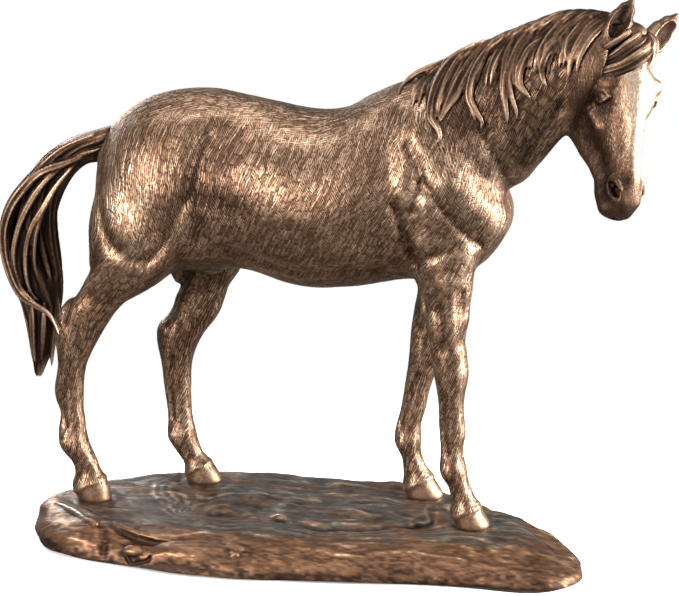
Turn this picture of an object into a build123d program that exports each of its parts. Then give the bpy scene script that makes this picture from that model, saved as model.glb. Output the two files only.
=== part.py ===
from build123d import *
import os
from math import cos, radians, sin, sqrt

# A standing horse in cast bronze on a rock plinth. +X runs towards the horse's chest, +Y to its
# left and +Z up. The origin is on the table, under the barrel, in the horse's median plane.

# ---- Driving dimensions, in millimetres ----
GROUND = 14.0  # height of the ground under the hooves
FELT = 1.5  # thickness of the felt under the plinth
WALL = 5.0  # wall of the hollow castings
LEG_SIDE = 17.5  # a leg's distance from the median plane
FRONT_SEAM = 116.0  # height of the joint between the body and a front leg
HIND_SEAM = 112.0  # height of the joint between the body and a hind leg
HEAD_LENGTH = 74.0  # poll to lips
STUD_R = 2.0  # M4 stud, drawn without its thread
STUD_BOTTOM = 4.0
STUD_IN_HOOF = 8.0
WASHER_R, WASHER_HIGH = 4.5, 0.8
NUT_FLATS, NUT_HIGH = 7.0, 3.2
DOWEL_R, DOWEL_HALF = 2.5, 7.0  # steel dowels across the casting joints
PIN_R, PIN_LONG = 1.0, 7.0  # rivets that hold the hair castings
PLAY = 0.03  # radial clearance of each pin in its hole

# Level sections of the plinth: height, length scale, depth scale and sideways shift.
PLINTH_LEVELS = [(FELT, 0.985, 0.97, 0), (6, 1.0, 1.0, 1), (10, 0.97, 0.93, 2), (GROUND, 0.92, 0.8, 4)]
PLINTH_ROOF, PLINTH_WALL = 5.0, 4.0
PLINTH_CENTRE = (4, -14.5)
PLINTH_OUTLINE = [
    (-127, -18), (-120, -39), (-101, -57), (-76, -63), (-50, -67), (-20, -69), (12, -65), (50, -60),
    (90, -57), (118, -55), (129, -41), (126, -19), (109, -2), (84, 17), (56, 33), (20, 37),
    (-16, 39), (-52, 37), (-84, 27), (-112, 6),
]

# Body sections across the spine: station, top, bottom and half width.
BODY = [
    (-97, 176, 142, 11), (-90, 189, 130, 21), (-77, 199.5, 124, 29), (-60, 205, 122, 33), (-45, 206, 123, 33.5),
    (-28, 203.5, 124, 32), (-10, 200, 119, 34), (10, 198, 117.5, 35), (28, 204, 120, 34), (43, 211, 123, 31),
    (60, 212, 125, 29), (76, 192, 130, 26), (86, 173, 138, 20), (92, 163, 150, 11),
]

# Level sections of the legs: height, rear edge, front edge and half width.
HIND_RIGHT = [
    (174, -82, -60, 5), (166, -90, -55, 10), (157, -95, -51, 13.5), (147, -97.5, -49.5, 15),
    (138, -98, -50, 15.5), (129, -98, -55, 14.5), (120, -103, -64, 12),
    (112, -108, -76, 9.8), (105, -113, -85, 8.6), (99, -115, -90, 8), (92, -115.5, -94.5, 7.8), (84, -114.5, -99, 7.5),
    (75, -115, -102, 6.4), (60, -115.5, -103, 5.4), (48, -115.5, -102, 5.4), (41, -115, -101, 6.4),
    (36, -112, -98.5, 6), (29, -108, -95.5, 5.4), (23, -109.5, -92.5, 6.5), (20, -109.5, -91.5, 7),
    (GROUND, -108, -88.5, 7.6),
]
HIND_LEFT = [
    (174, -72, -48, 5), (166, -78, -42, 10), (157, -83, -37, 13.5), (147, -85, -33, 15),
    (138, -84, -32, 15.5), (129, -79, -33, 14.5), (120, -73, -36, 12),
    (112, -69.5, -40, 9.8), (104, -69.5, -44.5, 8.6), (97, -72, -47.5, 8), (90, -77, -53, 7.8), (83, -78, -57.5, 7.5),
    (75, -76.5, -60.5, 6.4), (60, -75, -61.5, 5.4), (42, -73.5, -60.5, 5.6), (35, -73, -59, 6.4),
    (29, -69.5, -56.5, 5.6), (24, -66.5, -52.5, 6.2), (20, -65.5, -49.5, 7), (GROUND, -65, -45.5, 7.6),
]
FRONT_RIGHT = [
    (156, 44, 82, 9), (145, 46, 80, 10.5), (133, 50, 77.5, 10.8), (124, 52, 76, 10), (FRONT_SEAM, 53.5, 75.5, 9.2),
    (105, 56, 74, 8.2), (97, 58, 74, 7.4), (89, 59, 75.3, 7.4), (82, 60.3, 75.3, 7.4), (75, 61.5, 74, 6.4),
    (66, 62, 73.8, 5.4), (52, 63, 73.8, 5.4), (43, 62.8, 75, 6.6), (37, 64.5, 75.8, 6), (31, 67.5, 78, 5.4),
    (25, 67.5, 81.2, 6.3), (21, 67.5, 83.3, 7), (GROUND, 69, 86.5, 7.6),
]
FRONT_LEFT = [
    (156, 44, 80, 9), (145, 45, 77, 10.5), (133, 45, 73.5, 10.8), (124, 44.8, 70.5, 10), (FRONT_SEAM, 44, 67.5, 9.2),
    (105, 44, 63, 8.2), (97, 43.5, 60, 7.4), (89, 43, 58.8, 7.4), (81, 42.5, 57.5, 7.4), (74, 41.5, 55, 6.4),
    (65, 40, 52.3, 5.4), (52, 37.5, 49.3, 5.4), (43, 36, 48.4, 6.6), (37, 38, 48.4, 6), (31, 40, 50.5, 5.4),
    (25, 40, 54, 6.3), (21, 40, 56.5, 7), (GROUND, 40.5, 60, 7.6),
]

# Neck sections: crest (x, z), throat (x, z), sideways centre and half width.
NECK = [
    ((36, 203), (78, 152), 0, 28), ((46, 211), (89.5, 160), 0, 25), ((60, 218), (94, 166.5), -0.5, 20.5),
    ((78, 226.5), (100.5, 174), -2, 16.5), ((97, 233.5), (107, 182.5), -4.5, 14.5), ((112, 237.5), (112.5, 190), -7, 13),
    ((126, 238), (121, 199), -9.5, 12.5), ((134, 236), (127, 203), -11, 11),
]
NECK_SEAM_STATION, HEAD_SEAM_STATION = 1, 5

# The head hangs from the poll on its own axes: down the face, out of the forehead, and to its left.
POLL = Vector(142.3, -10, 233)
DOWN_FACE = Vector(0.045, -0.393, -0.918).normalized()
TO_LEFT = Vector(0.750, 0.617, -0.224).normalized()
# Head sections, in head lengths: distance down the face, forehead, jaw and half width.
HEAD = [
    (-0.04, 0.0, -0.28, 0.09), (0.06, 0.03, -0.42, 0.135), (0.18, 0.06, -0.5, 0.16), (0.3, 0.075, -0.53, 0.165),
    (0.42, 0.06, -0.52, 0.15), (0.52, 0.045, -0.45, 0.13), (0.62, 0.03, -0.34, 0.105), (0.74, 0.02, -0.25, 0.088),
    (0.84, 0.015, -0.225, 0.09), (0.93, -0.005, -0.22, 0.088), (1.0, -0.045, -0.2, 0.068), (1.03, -0.09, -0.16, 0.035),
]
# Ears, in head lengths: distance from the ear's root, half width and half thickness.
EAR = [(-0.05, 0.05, 0.04), (0.05, 0.052, 0.036), (0.12, 0.044, 0.026), (0.19, 0.026, 0.015), (0.245, 0.006, 0.004)]
# Sideways place of each ear's root, then how far the ear leans forward and to the horse's left.
EAR_LEANS = [(-0.11, 0.45, 0.25), (0.12, 0.45, 0.65)]

# Tail sections: centre (x, z), direction of its outer face in degrees above -X, half depth, half width.
TAIL = [
    ((-92, 178.5), 85, 7.5, 5.5), ((-105, 175.8), 82, 7.2, 6), ((-115, 170), 55, 7, 7), ((-122.5, 160), 30, 8, 8),
    ((-128, 148), 12, 10, 9.5), ((-130, 132.5), 0, 12.5, 10.5), ((-129, 116.5), -8, 12.5, 10.5),
    ((-127.5, 102), -14, 9.5, 9), ((-127, 88), -10, 6.5, 6.5), ((-129, 70), -5, 2, 2),
]
TAIL_SIDE = -5.0
TAIL_SPIGOT_R, TAIL_SPIGOT_LONG = 3.0, 9.0

# Side view of the mane: along the crest from the withers to the poll, then back along the locks' tips.
MANE_OUTLINE = [
    (40, 214), (62, 226), (80, 234), (100, 241), (126, 245), (128, 226), (115, 222), (106, 212), (100, 215), (95, 197),
    (88, 208), (79, 193), (73, 206), (61, 188), (57, 208), (44, 203),
]
MANE_THICK = 3.0
MANE_PINS = [(60, -12.6, 208), (84, -13, 217), (104, -13.9, 225)]
# Front view of the forelock, in head lengths: distance down the face and to the horse's left.
FORELOCK_OUTLINE = [
    (-0.05, -0.06), (-0.03, 0.08), (0.12, 0.08), (0.2, 0.0), (0.3, -0.1), (0.26, -0.2), (0.1, -0.17),
]
FORELOCK_THICK = 2.2
FORELOCK_PIN = (0.12, 0.012, -0.04)  # down, forward and left, in head lengths

HOOVES = {"right_front": (76.5, -1), "left_front": (49, 1), "right_hind": (-100, -1), "left_hind": (-57, 1)}


def egg(plane, top, bottom, half_width):
    """Closed outline across the body, widest a little below its middle."""
    tall = top - bottom
    ring = [(0, top), (0.6, top - 0.12 * tall), (0.95, top - 0.36 * tall), (0.98, top - 0.62 * tall), (0.62, top - 0.9 * tall)]
    right = [(half_width * across, height) for across, height in ring]
    left = [(-across, height) for across, height in reversed(right[1:])]
    with BuildSketch(plane) as outline:
        with BuildLine():
            Spline(right + [(0, bottom)] + left, periodic=True)
        make_face()
    return outline.sketch


def body_form(wall=0.0, stations=BODY):
    """The barrel, rump and chest as one smooth form, drawn smaller by wall on every side."""
    with BuildPart() as form:
        for x, top, bottom, half_width in stations:
            add(egg(Plane(origin=(x, 0, 0), x_dir=(0, 1, 0), z_dir=(1, 0, 0)), top - wall, bottom + wall, half_width - wall))
        loft()
    return form.part


def limb_form(stations, side):
    """A leg as a loft of level ellipses, from inside the body down to the hoof."""
    with BuildPart() as form:
        for height, rear, front, half_width in stations:
            with BuildSketch(Plane.XY.offset(height)):
                with Locations(((rear + front) / 2, side * LEG_SIDE)):
                    Ellipse((front - rear) / 2, half_width)
        loft()
    return form.part


def neck_plane(station):
    """The plane of one neck section, with its x axis up the section and its normal towards the head."""
    (crest_x, crest_z), (throat_x, throat_z), side, _ = NECK[station]
    up = Vector(crest_x - throat_x, 0, crest_z - throat_z).normalized()
    middle = ((crest_x + throat_x) / 2, side, (crest_z + throat_z) / 2)
    return Plane(origin=middle, x_dir=up, z_dir=Vector(0, 1, 0).cross(up))


def neck_depth(station):
    """Half the distance from crest to throat at one neck section."""
    (crest_x, crest_z), (throat_x, throat_z), _, _ = NECK[station]
    return sqrt((crest_x - throat_x) ** 2 + (crest_z - throat_z) ** 2) / 2


def neck_form(wall=0.0, first=0, last=None):
    """The neck as a loft of ellipses, drawn smaller by wall on every side."""
    with BuildPart() as form:
        for station in range(first, len(NECK) if last is None else last):
            with BuildSketch(neck_plane(station)):
                Ellipse(neck_depth(station) - wall, NECK[station][3] - wall)
        loft()
    return form.part


def head_form(extra=0.0, stations=HEAD):
    """The skull, jaw and muzzle as a loft down the face, drawn larger by extra on every side."""
    with BuildPart() as form:
        for down, forehead, jaw, half_width in stations:
            middle = (forehead + jaw) / 2
            with BuildSketch(Plane(origin=head_point(down, middle, 0), x_dir=TO_LEFT, z_dir=DOWN_FACE)):
                Ellipse(half_width * HEAD_LENGTH + extra, (forehead - jaw) / 2 * HEAD_LENGTH + extra)
        loft()
    return form.part


def head_point(down, forward, left):
    """A point on the head's own axes, in head lengths from the poll."""
    forward_dir = DOWN_FACE.cross(TO_LEFT)
    return POLL + (DOWN_FACE * down + forward_dir * forward + TO_LEFT * left) * HEAD_LENGTH


def ear_form(root_left, lean_forward, lean_out):
    """A pointed ear as a loft of ellipses along its own axis."""
    root = head_point(0.03, -0.07, root_left)
    axis = (head_point(-1, lean_forward, lean_out) - head_point(0, 0, 0)).normalized()
    with BuildPart() as form:
        for along, half_width, half_thick in EAR:
            with BuildSketch(Plane(origin=root + axis * along * HEAD_LENGTH, x_dir=TO_LEFT, z_dir=axis)):
                Ellipse(half_width * HEAD_LENGTH, half_thick * HEAD_LENGTH)
        loft()
    return form.part


def dowel(plane, half_long, radius):
    """A round pin centred on a plane and standing square to it."""
    with BuildPart() as pin:
        with BuildSketch(plane.offset(-half_long)):
            Circle(radius)
        extrude(amount=2 * half_long)
    return pin.part


def plinth_outline(height, long_scale, deep_scale, shift, inset=0.0):
    """The rock's outline at one height, scaled about its middle and drawn smaller by inset."""
    centre_x, centre_y = PLINTH_CENTRE
    points = []
    for x, y in PLINTH_OUTLINE:
        reach_x, reach_y = (x - centre_x) * long_scale, (y - centre_y) * deep_scale
        shrink = 1 - inset / sqrt(reach_x**2 + reach_y**2)
        points.append((centre_x + reach_x * shrink, centre_y + shift + reach_y * shrink))
    with BuildSketch(Plane.XY.offset(height)) as outline:
        with BuildLine():
            Spline(points, periodic=True)
        make_face()
    return outline.sketch


# ---- Plain forms that the castings are cut from ----
body, neck_long, skull = body_form(), neck_form(), head_form()
leg_forms = {
    "hind_right": (limb_form(HIND_RIGHT, -1), HIND_SEAM),
    "hind_left": (limb_form(HIND_LEFT, 1), HIND_SEAM),
    "front_right": (limb_form(FRONT_RIGHT, -1), FRONT_SEAM),
    "front_left": (limb_form(FRONT_LEFT, 1), FRONT_SEAM),
}
leg_seam_middles = {
    "hind_right": (-92, -LEG_SIDE), "hind_left": (-54.7, LEG_SIDE),
    "front_right": (64.5, -LEG_SIDE), "front_left": (55.7, LEG_SIDE),
}
neck_seam, head_seam = neck_plane(NECK_SEAM_STATION), neck_plane(HEAD_SEAM_STATION)

ears = [ear_form(*lean) for lean in EAR_LEANS]

# ---- Pins across the joints, each set with the holes for it ----
hoof_planes = [Plane(origin=(x, side * LEG_SIDE, 0)) for x, side in HOOVES.values()]
stud_half = (GROUND + STUD_IN_HOOF - STUD_BOTTOM) / 2
stud_planes = [plane.offset(STUD_BOTTOM + stud_half) for plane in hoof_planes]
leg_planes = [Plane(origin=(*leg_seam_middles[name], seam)) for name, (_, seam) in leg_forms.items()]
neck_planes = [Plane(origin=neck_seam.from_local_coords((up, 0, 0)), z_dir=neck_seam.z_dir) for up in (-24, 24)]
head_planes = [Plane(origin=head_seam.from_local_coords((up, 0, 0)), z_dir=head_seam.z_dir) for up in (-12, 12)]
mane_planes = [Plane(origin=place, z_dir=(0, 1, 0)) for place in MANE_PINS]
forelock_planes = [Plane(origin=head_point(*FORELOCK_PIN), z_dir=DOWN_FACE.cross(TO_LEFT))]
pin_sets = {
    "hoof_studs": (stud_planes, stud_half, STUD_R), "leg_dowels": (leg_planes, DOWEL_HALF, DOWEL_R),
    "neck_dowels": (neck_planes, DOWEL_HALF, DOWEL_R), "head_dowels": (head_planes, DOWEL_HALF, DOWEL_R),
    "mane_pins": (mane_planes, PIN_LONG / 2, PIN_R), "forelock_pin": (forelock_planes, PIN_LONG / 2, PIN_R),
}
holes = {}
for name, (planes, half_long, radius) in pin_sets.items():
    holes[name] = [dowel(plane, half_long + PLAY, radius + PLAY) for plane in planes]
    with BuildPart() as pins:
        for plane in planes:
            add(dowel(plane, half_long, radius))
    pins.part.label = name
    export_step(pins.part, f"parts/{name}.step")

# ---- Washers and nuts on the studs, inside the plinth ----
with BuildPart() as washers:
    for plane in hoof_planes:
        with BuildSketch(plane.offset(GROUND - PLINTH_ROOF - WASHER_HIGH)):
            Circle(WASHER_R)
            Circle(STUD_R + PLAY, mode=Mode.SUBTRACT)
    extrude(amount=WASHER_HIGH)
washers.part.label = "hoof_washers"
export_step(washers.part, "parts/hoof_washers.step")

with BuildPart() as nuts:
    for plane in hoof_planes:
        with BuildSketch(plane.offset(GROUND - PLINTH_ROOF - WASHER_HIGH - NUT_HIGH)):
            RegularPolygon(NUT_FLATS / 2, 6, major_radius=False)
            Circle(STUD_R + PLAY, mode=Mode.SUBTRACT)
    extrude(amount=NUT_HIGH)
nuts.part.label = "hoof_nuts"
export_step(nuts.part, "parts/hoof_nuts.step")

# ---- Plinth: a hollow rock casting, open underneath, with felt glued over the opening ----
with BuildPart() as plinth:
    for height, long_scale, deep_scale, shift in PLINTH_LEVELS:
        add(plinth_outline(height, long_scale, deep_scale, shift))
    loft()
    add(plinth_outline(FELT, *PLINTH_LEVELS[-1][1:], PLINTH_WALL))
    extrude(amount=GROUND - PLINTH_ROOF - FELT, mode=Mode.SUBTRACT)
    add(holes["hoof_studs"], mode=Mode.SUBTRACT)
plinth.part.label = "plinth"
export_step(plinth.part, "parts/plinth.step")

with BuildPart() as felt:
    add(plinth_outline(0, *PLINTH_LEVELS[0][1:], 2.5))
    extrude(amount=FELT)
felt.part.label = "felt_pad"
export_step(felt.part, "parts/felt_pad.step")

# ---- Legs: solid castings, each with a hole in the hoof and a hole at the top ----
for name, (form, seam) in leg_forms.items():
    with BuildPart() as leg:
        add(form)
        split(bisect_by=Plane.XY.offset(seam), keep=Keep.BOTTOM)
        add(holes["hoof_studs"] + holes["leg_dowels"], mode=Mode.SUBTRACT)
    leg.part.label = f"{name}_leg"
    export_step(leg.part, f"parts/{name}_leg.step")

# ---- Tail: a solid casting on a round spigot ----
spigot_start = Plane(origin=(-97, TAIL_SIDE, 177), x_dir=(0, 1, 0), z_dir=(1, 0, 0))
with BuildPart() as tail:
    for (x, z), degrees, half_deep, half_width in TAIL:
        outward = Vector(-cos(radians(degrees)), 0, sin(radians(degrees)))
        with BuildSketch(Plane(origin=(x, TAIL_SIDE, z), x_dir=outward, z_dir=Vector(0, 1, 0).cross(outward))):
            Ellipse(half_deep, half_width)
    loft()
    add(body, mode=Mode.SUBTRACT)
    add(leg_forms["hind_right"][0], mode=Mode.SUBTRACT)
    with BuildSketch(spigot_start.offset(-5)):
        Circle(TAIL_SPIGOT_R)
    extrude(amount=TAIL_SPIGOT_LONG + 10)
tail.part.label = "tail"
export_step(tail.part, "parts/tail.step")

# ---- Body: a hollow casting with the thighs and shoulders on it ----
with BuildPart() as torso:
    add(body)
    for form, seam in leg_forms.values():
        add(split(form, bisect_by=Plane.XY.offset(seam), keep=Keep.TOP, mode=Mode.PRIVATE))
    add(neck_long)
    split(bisect_by=neck_seam, keep=Keep.BOTTOM)
    add(body_form(WALL, BODY[2:9]), mode=Mode.SUBTRACT)
    add(holes["leg_dowels"] + holes["neck_dowels"], mode=Mode.SUBTRACT)
    with BuildSketch(spigot_start.offset(-15)):
        Circle(TAIL_SPIGOT_R + PLAY)
    extrude(amount=TAIL_SPIGOT_LONG + 20.5, mode=Mode.SUBTRACT)
torso.part.label = "torso"
export_step(torso.part, "parts/torso.step")

# ---- Neck: a hollow casting between its two joints ----
with BuildPart() as neck:
    add(neck_long)
    split(bisect_by=neck_seam, keep=Keep.TOP)
    split(bisect_by=head_seam, keep=Keep.BOTTOM)
    add(neck_form(WALL + 1, 2, 5), mode=Mode.SUBTRACT)
    add(holes["neck_dowels"] + holes["head_dowels"] + holes["mane_pins"], mode=Mode.SUBTRACT)
neck.part.label = "neck"
export_step(neck.part, "parts/neck.step")

# ---- Head: a solid casting with the ears and the top of the neck on it ----
with BuildPart() as head:
    add(split(neck_long, bisect_by=head_seam, keep=Keep.TOP, mode=Mode.PRIVATE))
    add(split(skull, bisect_by=head_seam, keep=Keep.TOP, mode=Mode.PRIVATE))
    add(ears)
    add(holes["head_dowels"] + holes["forelock_pin"], mode=Mode.SUBTRACT)
head.part.label = "head"
export_step(head.part, "parts/head.step")

# ---- Mane: a thin casting that lies over the crest and down the right side of the neck ----
with BuildPart() as mane:
    add(neck_form(-MANE_THICK))
    with BuildSketch(Plane.XZ.offset(60)):
        with BuildLine():
            Polyline(MANE_OUTLINE, close=True)
        make_face()
    extrude(amount=-120, mode=Mode.INTERSECT)
    split(bisect_by=Plane(origin=(46, 3, 0), z_dir=(0.11, 1, 0)), keep=Keep.BOTTOM)
    add([neck_long, body, skull] + ears + holes["mane_pins"], mode=Mode.SUBTRACT)
mane.part.label = "mane"
export_step(mane.part, "parts/mane.step")

# ---- Forelock: a thin casting on the forehead ----
with BuildPart() as forelock:
    add(head_form(FORELOCK_THICK, HEAD[:6]))
    with BuildSketch(Plane(origin=POLL, x_dir=DOWN_FACE, z_dir=DOWN_FACE.cross(TO_LEFT))):
        with BuildLine():
            Polyline([(down * HEAD_LENGTH, left * HEAD_LENGTH) for down, left in FORELOCK_OUTLINE], close=True)
        make_face()
    extrude(amount=20, both=True, mode=Mode.INTERSECT)
    add([skull, neck_long, mane.part] + ears + holes["forelock_pin"], mode=Mode.SUBTRACT)
    add(forelock.solids().sort_by(SortBy.VOLUME)[-1], mode=Mode.REPLACE)
forelock.part.label = "forelock"
export_step(forelock.part, "parts/forelock.step")
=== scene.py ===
import math
import random

import bmesh
import bpy
import numpy as np
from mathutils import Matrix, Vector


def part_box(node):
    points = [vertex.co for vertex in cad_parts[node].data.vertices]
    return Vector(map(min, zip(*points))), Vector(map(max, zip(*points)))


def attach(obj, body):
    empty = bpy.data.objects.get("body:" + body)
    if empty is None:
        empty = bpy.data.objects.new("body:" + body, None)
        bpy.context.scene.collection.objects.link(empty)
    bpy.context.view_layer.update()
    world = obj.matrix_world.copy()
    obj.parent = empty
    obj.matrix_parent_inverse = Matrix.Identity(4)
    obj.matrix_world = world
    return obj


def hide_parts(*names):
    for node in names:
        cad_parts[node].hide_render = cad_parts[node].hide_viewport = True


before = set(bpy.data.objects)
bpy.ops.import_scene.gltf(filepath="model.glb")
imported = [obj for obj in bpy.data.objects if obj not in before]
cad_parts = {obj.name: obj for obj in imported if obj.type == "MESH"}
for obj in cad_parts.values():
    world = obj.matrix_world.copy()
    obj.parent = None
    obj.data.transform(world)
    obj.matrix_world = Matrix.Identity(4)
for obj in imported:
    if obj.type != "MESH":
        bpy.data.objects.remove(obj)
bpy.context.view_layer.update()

import openvdb
from mathutils import Vector

# The bronze horse. The castings' plain forms are read from the frame as distance fields, sculpted into a
# horse, given chased hair, and cut back into the same castings along the same joints.
MM = 0.001  # the scene is in metres; every length below is in millimetres
random.seed(7)

# ---- Places shared by the sections below, in millimetres, in the row frame ----
GROUND = 14.0  # ground under the hooves
HIND_SEAM, FRONT_SEAM = 112.0, 116.0  # level joints between the legs and the body
NECK_SEAM = (Vector((67.75, 0, 185.5)), Vector((0.761, 0, 0.649)))  # a point on the joint and its normal
HEAD_SEAM = (Vector((112.25, 0, 213.75)), Vector((1, 0, 0.0105)))
POLL = np.array([142.3, -10.0, 233.0])  # between the ears
DOWN_FACE = np.array([0.045, -0.393, -0.918])
TO_LEFT = np.array([0.750, 0.617, -0.224])
HEAD_LENGTH = 74.0

LEGS = ("front_right_leg", "front_left_leg", "hind_right_leg", "hind_left_leg")
FORM_CELL = 0.8  # cell of the grid that holds the whole form
FAR = 8.0  # distances past this aren't kept


def unit(vector):
    """The vector at length 1."""
    vector = np.asarray(vector, float)
    return vector / np.linalg.norm(vector)


DOWN_FACE, TO_LEFT = unit(DOWN_FACE), unit(TO_LEFT)
FORWARD = unit(np.cross(DOWN_FACE, TO_LEFT))


def on_head(down, forward, left):
    """A point on the head's own axes, in head lengths from the poll."""
    return POLL + (DOWN_FACE * down + FORWARD * forward + TO_LEFT * left) * HEAD_LENGTH


# ================================ Distance fields ================================
def smooth_step(value, low, high):
    """0 below low, 1 above high, and a smooth rise between."""
    t = np.clip((value - low) / (high - low), 0, 1)
    return t * t * (3 - 2 * t)


def blur(field, sigma):
    """Gaussian blur, sigma in cells."""
    reach = int(math.ceil(2.6 * sigma))
    weights = np.exp(-0.5 * (np.arange(-reach, reach + 1) / sigma) ** 2)
    weights = (weights / weights.sum()).astype(np.float32)
    for axis in range(3):
        padded = np.pad(field, [(reach, reach) if i == axis else (0, 0) for i in range(3)], mode="edge")
        field = sum(w * np.take(padded, range(k, k + field.shape[axis]), axis) for k, w in enumerate(weights))
    return field


def path_distance(places, points, flat):
    """Distance from every place to a path of straight stretches, ignoring y if flat."""
    kept = (0, 2) if flat else (0, 1, 2)
    best = None
    points = [np.asarray(p, float) for p in points]
    for start, end in zip(points, points[1:] if len(points) > 1 else points):
        run = end - start
        length = sum(run[i] ** 2 for i in kept)
        along = sum((places[i] - start[i]) * run[i] for i in kept) / max(length, 1e-9)
        along = np.clip(along, 0, 1)
        gap = sum((places[i] - start[i] - along * run[i]) ** 2 for i in kept)
        best = gap if best is None else np.minimum(best, gap)
    return np.sqrt(best)


class Field:
    """Signed distances on a regular grid, negative inside the bronze."""

    def __init__(self, low, high, cell):
        self.low, self.cell = np.array(low, float), cell
        self.count = np.ceil((np.array(high) - self.low) / cell).astype(int) + 1
        self.values = np.full(self.count, FAR, np.float32)

    def like(self):
        """An empty field on the same grid."""
        return Field(self.low, self.low + self.cell * (self.count - 1), self.cell)

    def places(self, part=(slice(None),) * 3):
        """Coordinates of the cells in part, shaped to broadcast."""
        lines = [self.low[i] + self.cell * np.arange(self.count[i]) for i in range(3)]
        cut = [line[part[i]].astype(np.float32) for i, line in enumerate(lines)]
        return cut[0][:, None, None], cut[1][None, :, None], cut[2][None, None, :]

    def part(self, low, high):
        """Slices that hold the box from low to high."""
        first = np.floor((np.asarray(low) - self.low) / self.cell).astype(int)
        last = np.ceil((np.asarray(high) - self.low) / self.cell).astype(int) + 1
        return tuple(slice(max(0, a), min(n, max(0, b))) for a, b, n in zip(first, last, self.count))

    def swell(self, points, radius, height, side=0):
        """Raises the surface by height along a path, or sinks it if height is negative, fading over radius.
        With a side, points are (x, z) in side view and only that side of the horse changes."""
        if side:
            points = [(x, 0, z) for x, z in points]
        corners = np.array(points, float)
        reach = 2.4 * radius
        low, high = corners.min(0) - reach, corners.max(0) + reach
        if side:
            low[1], high[1] = (0, 60) if side > 0 else (-60, 0)
        part = self.part(low, high)
        places = self.places(part)
        fade = np.exp(-((path_distance(places, points, bool(side)) / radius) ** 2)) * height
        if side:
            fade = fade * smooth_step(places[1] * side, 1.0, 7.0)
        self.values[part] -= fade.astype(np.float32)

    def both(self, points, radius, height):
        """The same change on the right and on the left."""
        self.swell(points, radius, height, -1)
        self.swell(points, radius, height, 1)

    def blend(self, other, part, soft):
        """Smooth union of part of the field with another distance."""
        mine = self.values[part]
        mix = np.clip(0.5 + 0.5 * (mine - other) / soft, 0, 1)
        self.values[part] = (mine * (1 - mix) + other * mix - soft * mix * (1 - mix)).astype(np.float32)

    def carve(self, other, part, soft):
        """Smooth subtraction of another distance."""
        mine = -self.values[part]
        mix = np.clip(0.5 + 0.5 * (mine - other) / soft, 0, 1)
        self.values[part] = -(mine * (1 - mix) + other * mix - soft * mix * (1 - mix)).astype(np.float32)

    def ball(self, centre, radii, axes=np.eye(3), soft=1.0, cut=False):
        """Adds an ellipsoid to the form, or cuts it out."""
        centre, radii, axes = np.asarray(centre, float), np.asarray(radii, float), np.asarray(axes, float)
        reach = radii.max() + 3 * soft + 2
        part = self.part(centre - reach, centre + reach)
        places = self.places(part)
        rel = [places[i] - centre[i] for i in range(3)]
        along = [sum(rel[i] * axis[i] for i in range(3)) for axis in axes]
        scaled = np.sqrt(sum((along[k] / radii[k]) ** 2 for k in range(3))) + 1e-6
        slope = np.sqrt(sum((along[k] / radii[k] ** 2) ** 2 for k in range(3))) + 1e-6
        distance = np.clip(scaled * (scaled - 1) / slope, -FAR, FAR)
        (self.carve if cut else self.blend)(distance, part, soft)

    def rod(self, points, radii, soft=1.0, cut=False):
        """Adds a path of balls whose radius changes evenly from point to point, or cuts it out."""
        points = [np.asarray(p, float) for p in points]
        reach = max(radii) + 3 * soft + 2
        part = self.part(np.min(points, 0) - reach, np.max(points, 0) + reach)
        places = self.places(part)
        best = None
        for start, end, first, last in zip(points, points[1:], radii, radii[1:]):
            run = end - start
            along = sum((places[i] - start[i]) * run[i] for i in range(3)) / max(run @ run, 1e-9)
            along = np.clip(along, 0, 1)
            gap = np.sqrt(sum((places[i] - start[i] - along * run[i]) ** 2 for i in range(3)))
            gap = gap - (first + (last - first) * along)
            best = gap if best is None else np.minimum(best, gap)
        (self.carve if cut else self.blend)(np.clip(best, -FAR, FAR), part, soft)

    def settle(self, share, sigma):
        """Softens the form where share is 1 and leaves it where share is 0."""
        self.values = self.values * (1 - share) + blur(self.values, sigma / self.cell) * share

    def finer(self, low, high, cell):
        """The same form in a box, on a finer grid."""
        made = Field(low, high, cell)
        values = self.values
        for axis, line in enumerate(made.low[i] + cell * np.arange(made.count[i]) for i in range(3)):
            at = np.clip((line - self.low[axis]) / self.cell, 0, self.count[axis] - 1.001)
            first = at.astype(int)
            share = (at - first).astype(np.float32).reshape([-1 if i == axis else 1 for i in range(3)])
            values = np.take(values, first, axis) * (1 - share) + np.take(values, first + 1, axis) * share
        made.values = blur(values, 0.55 * self.cell / cell)
        return made

    def surface(self):
        """Points and quads of the surface."""
        grid = openvdb.FloatGrid(3 * self.cell)
        grid.copyFromArray(np.clip(self.values, -3 * self.cell, 3 * self.cell))
        points, quads = grid.convertToQuads()
        return points * self.cell + self.low, quads


# ================================ The form of the castings ================================
def outer_shell(node):
    """Points and triangles of a CAD node's outer surface, in millimetres, without its closed hollows."""
    shape = bmesh.new()
    shape.from_mesh(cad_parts[node].data)
    bmesh.ops.remove_doubles(shape, verts=shape.verts, dist=1e-7)
    bmesh.ops.triangulate(shape, faces=shape.faces)
    seen = set()
    shells = []
    for seed in shape.verts:
        if seed in seen:
            continue
        seen.add(seed)
        shell, waiting = [], [seed]
        while waiting:
            vertex = waiting.pop()
            shell.append(vertex)
            for edge in vertex.link_edges:
                other = edge.other_vert(vertex)
                if other not in seen:
                    seen.add(other)
                    waiting.append(other)
        shells.append(shell)
    if node in ("torso", "neck"):
        shells = [max(shells, key=lambda shell: max(v.co.z for v in shell) - min(v.co.z for v in shell))]
    kept = set().union(*shells)
    shape.verts.index_update()
    points = np.array([v.co for v in shape.verts]) / MM
    triangles = np.array([[v.index for v in f.verts] for f in shape.faces if f.verts[0] in kept], np.uint32)
    shape.free()
    return points, triangles


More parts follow.
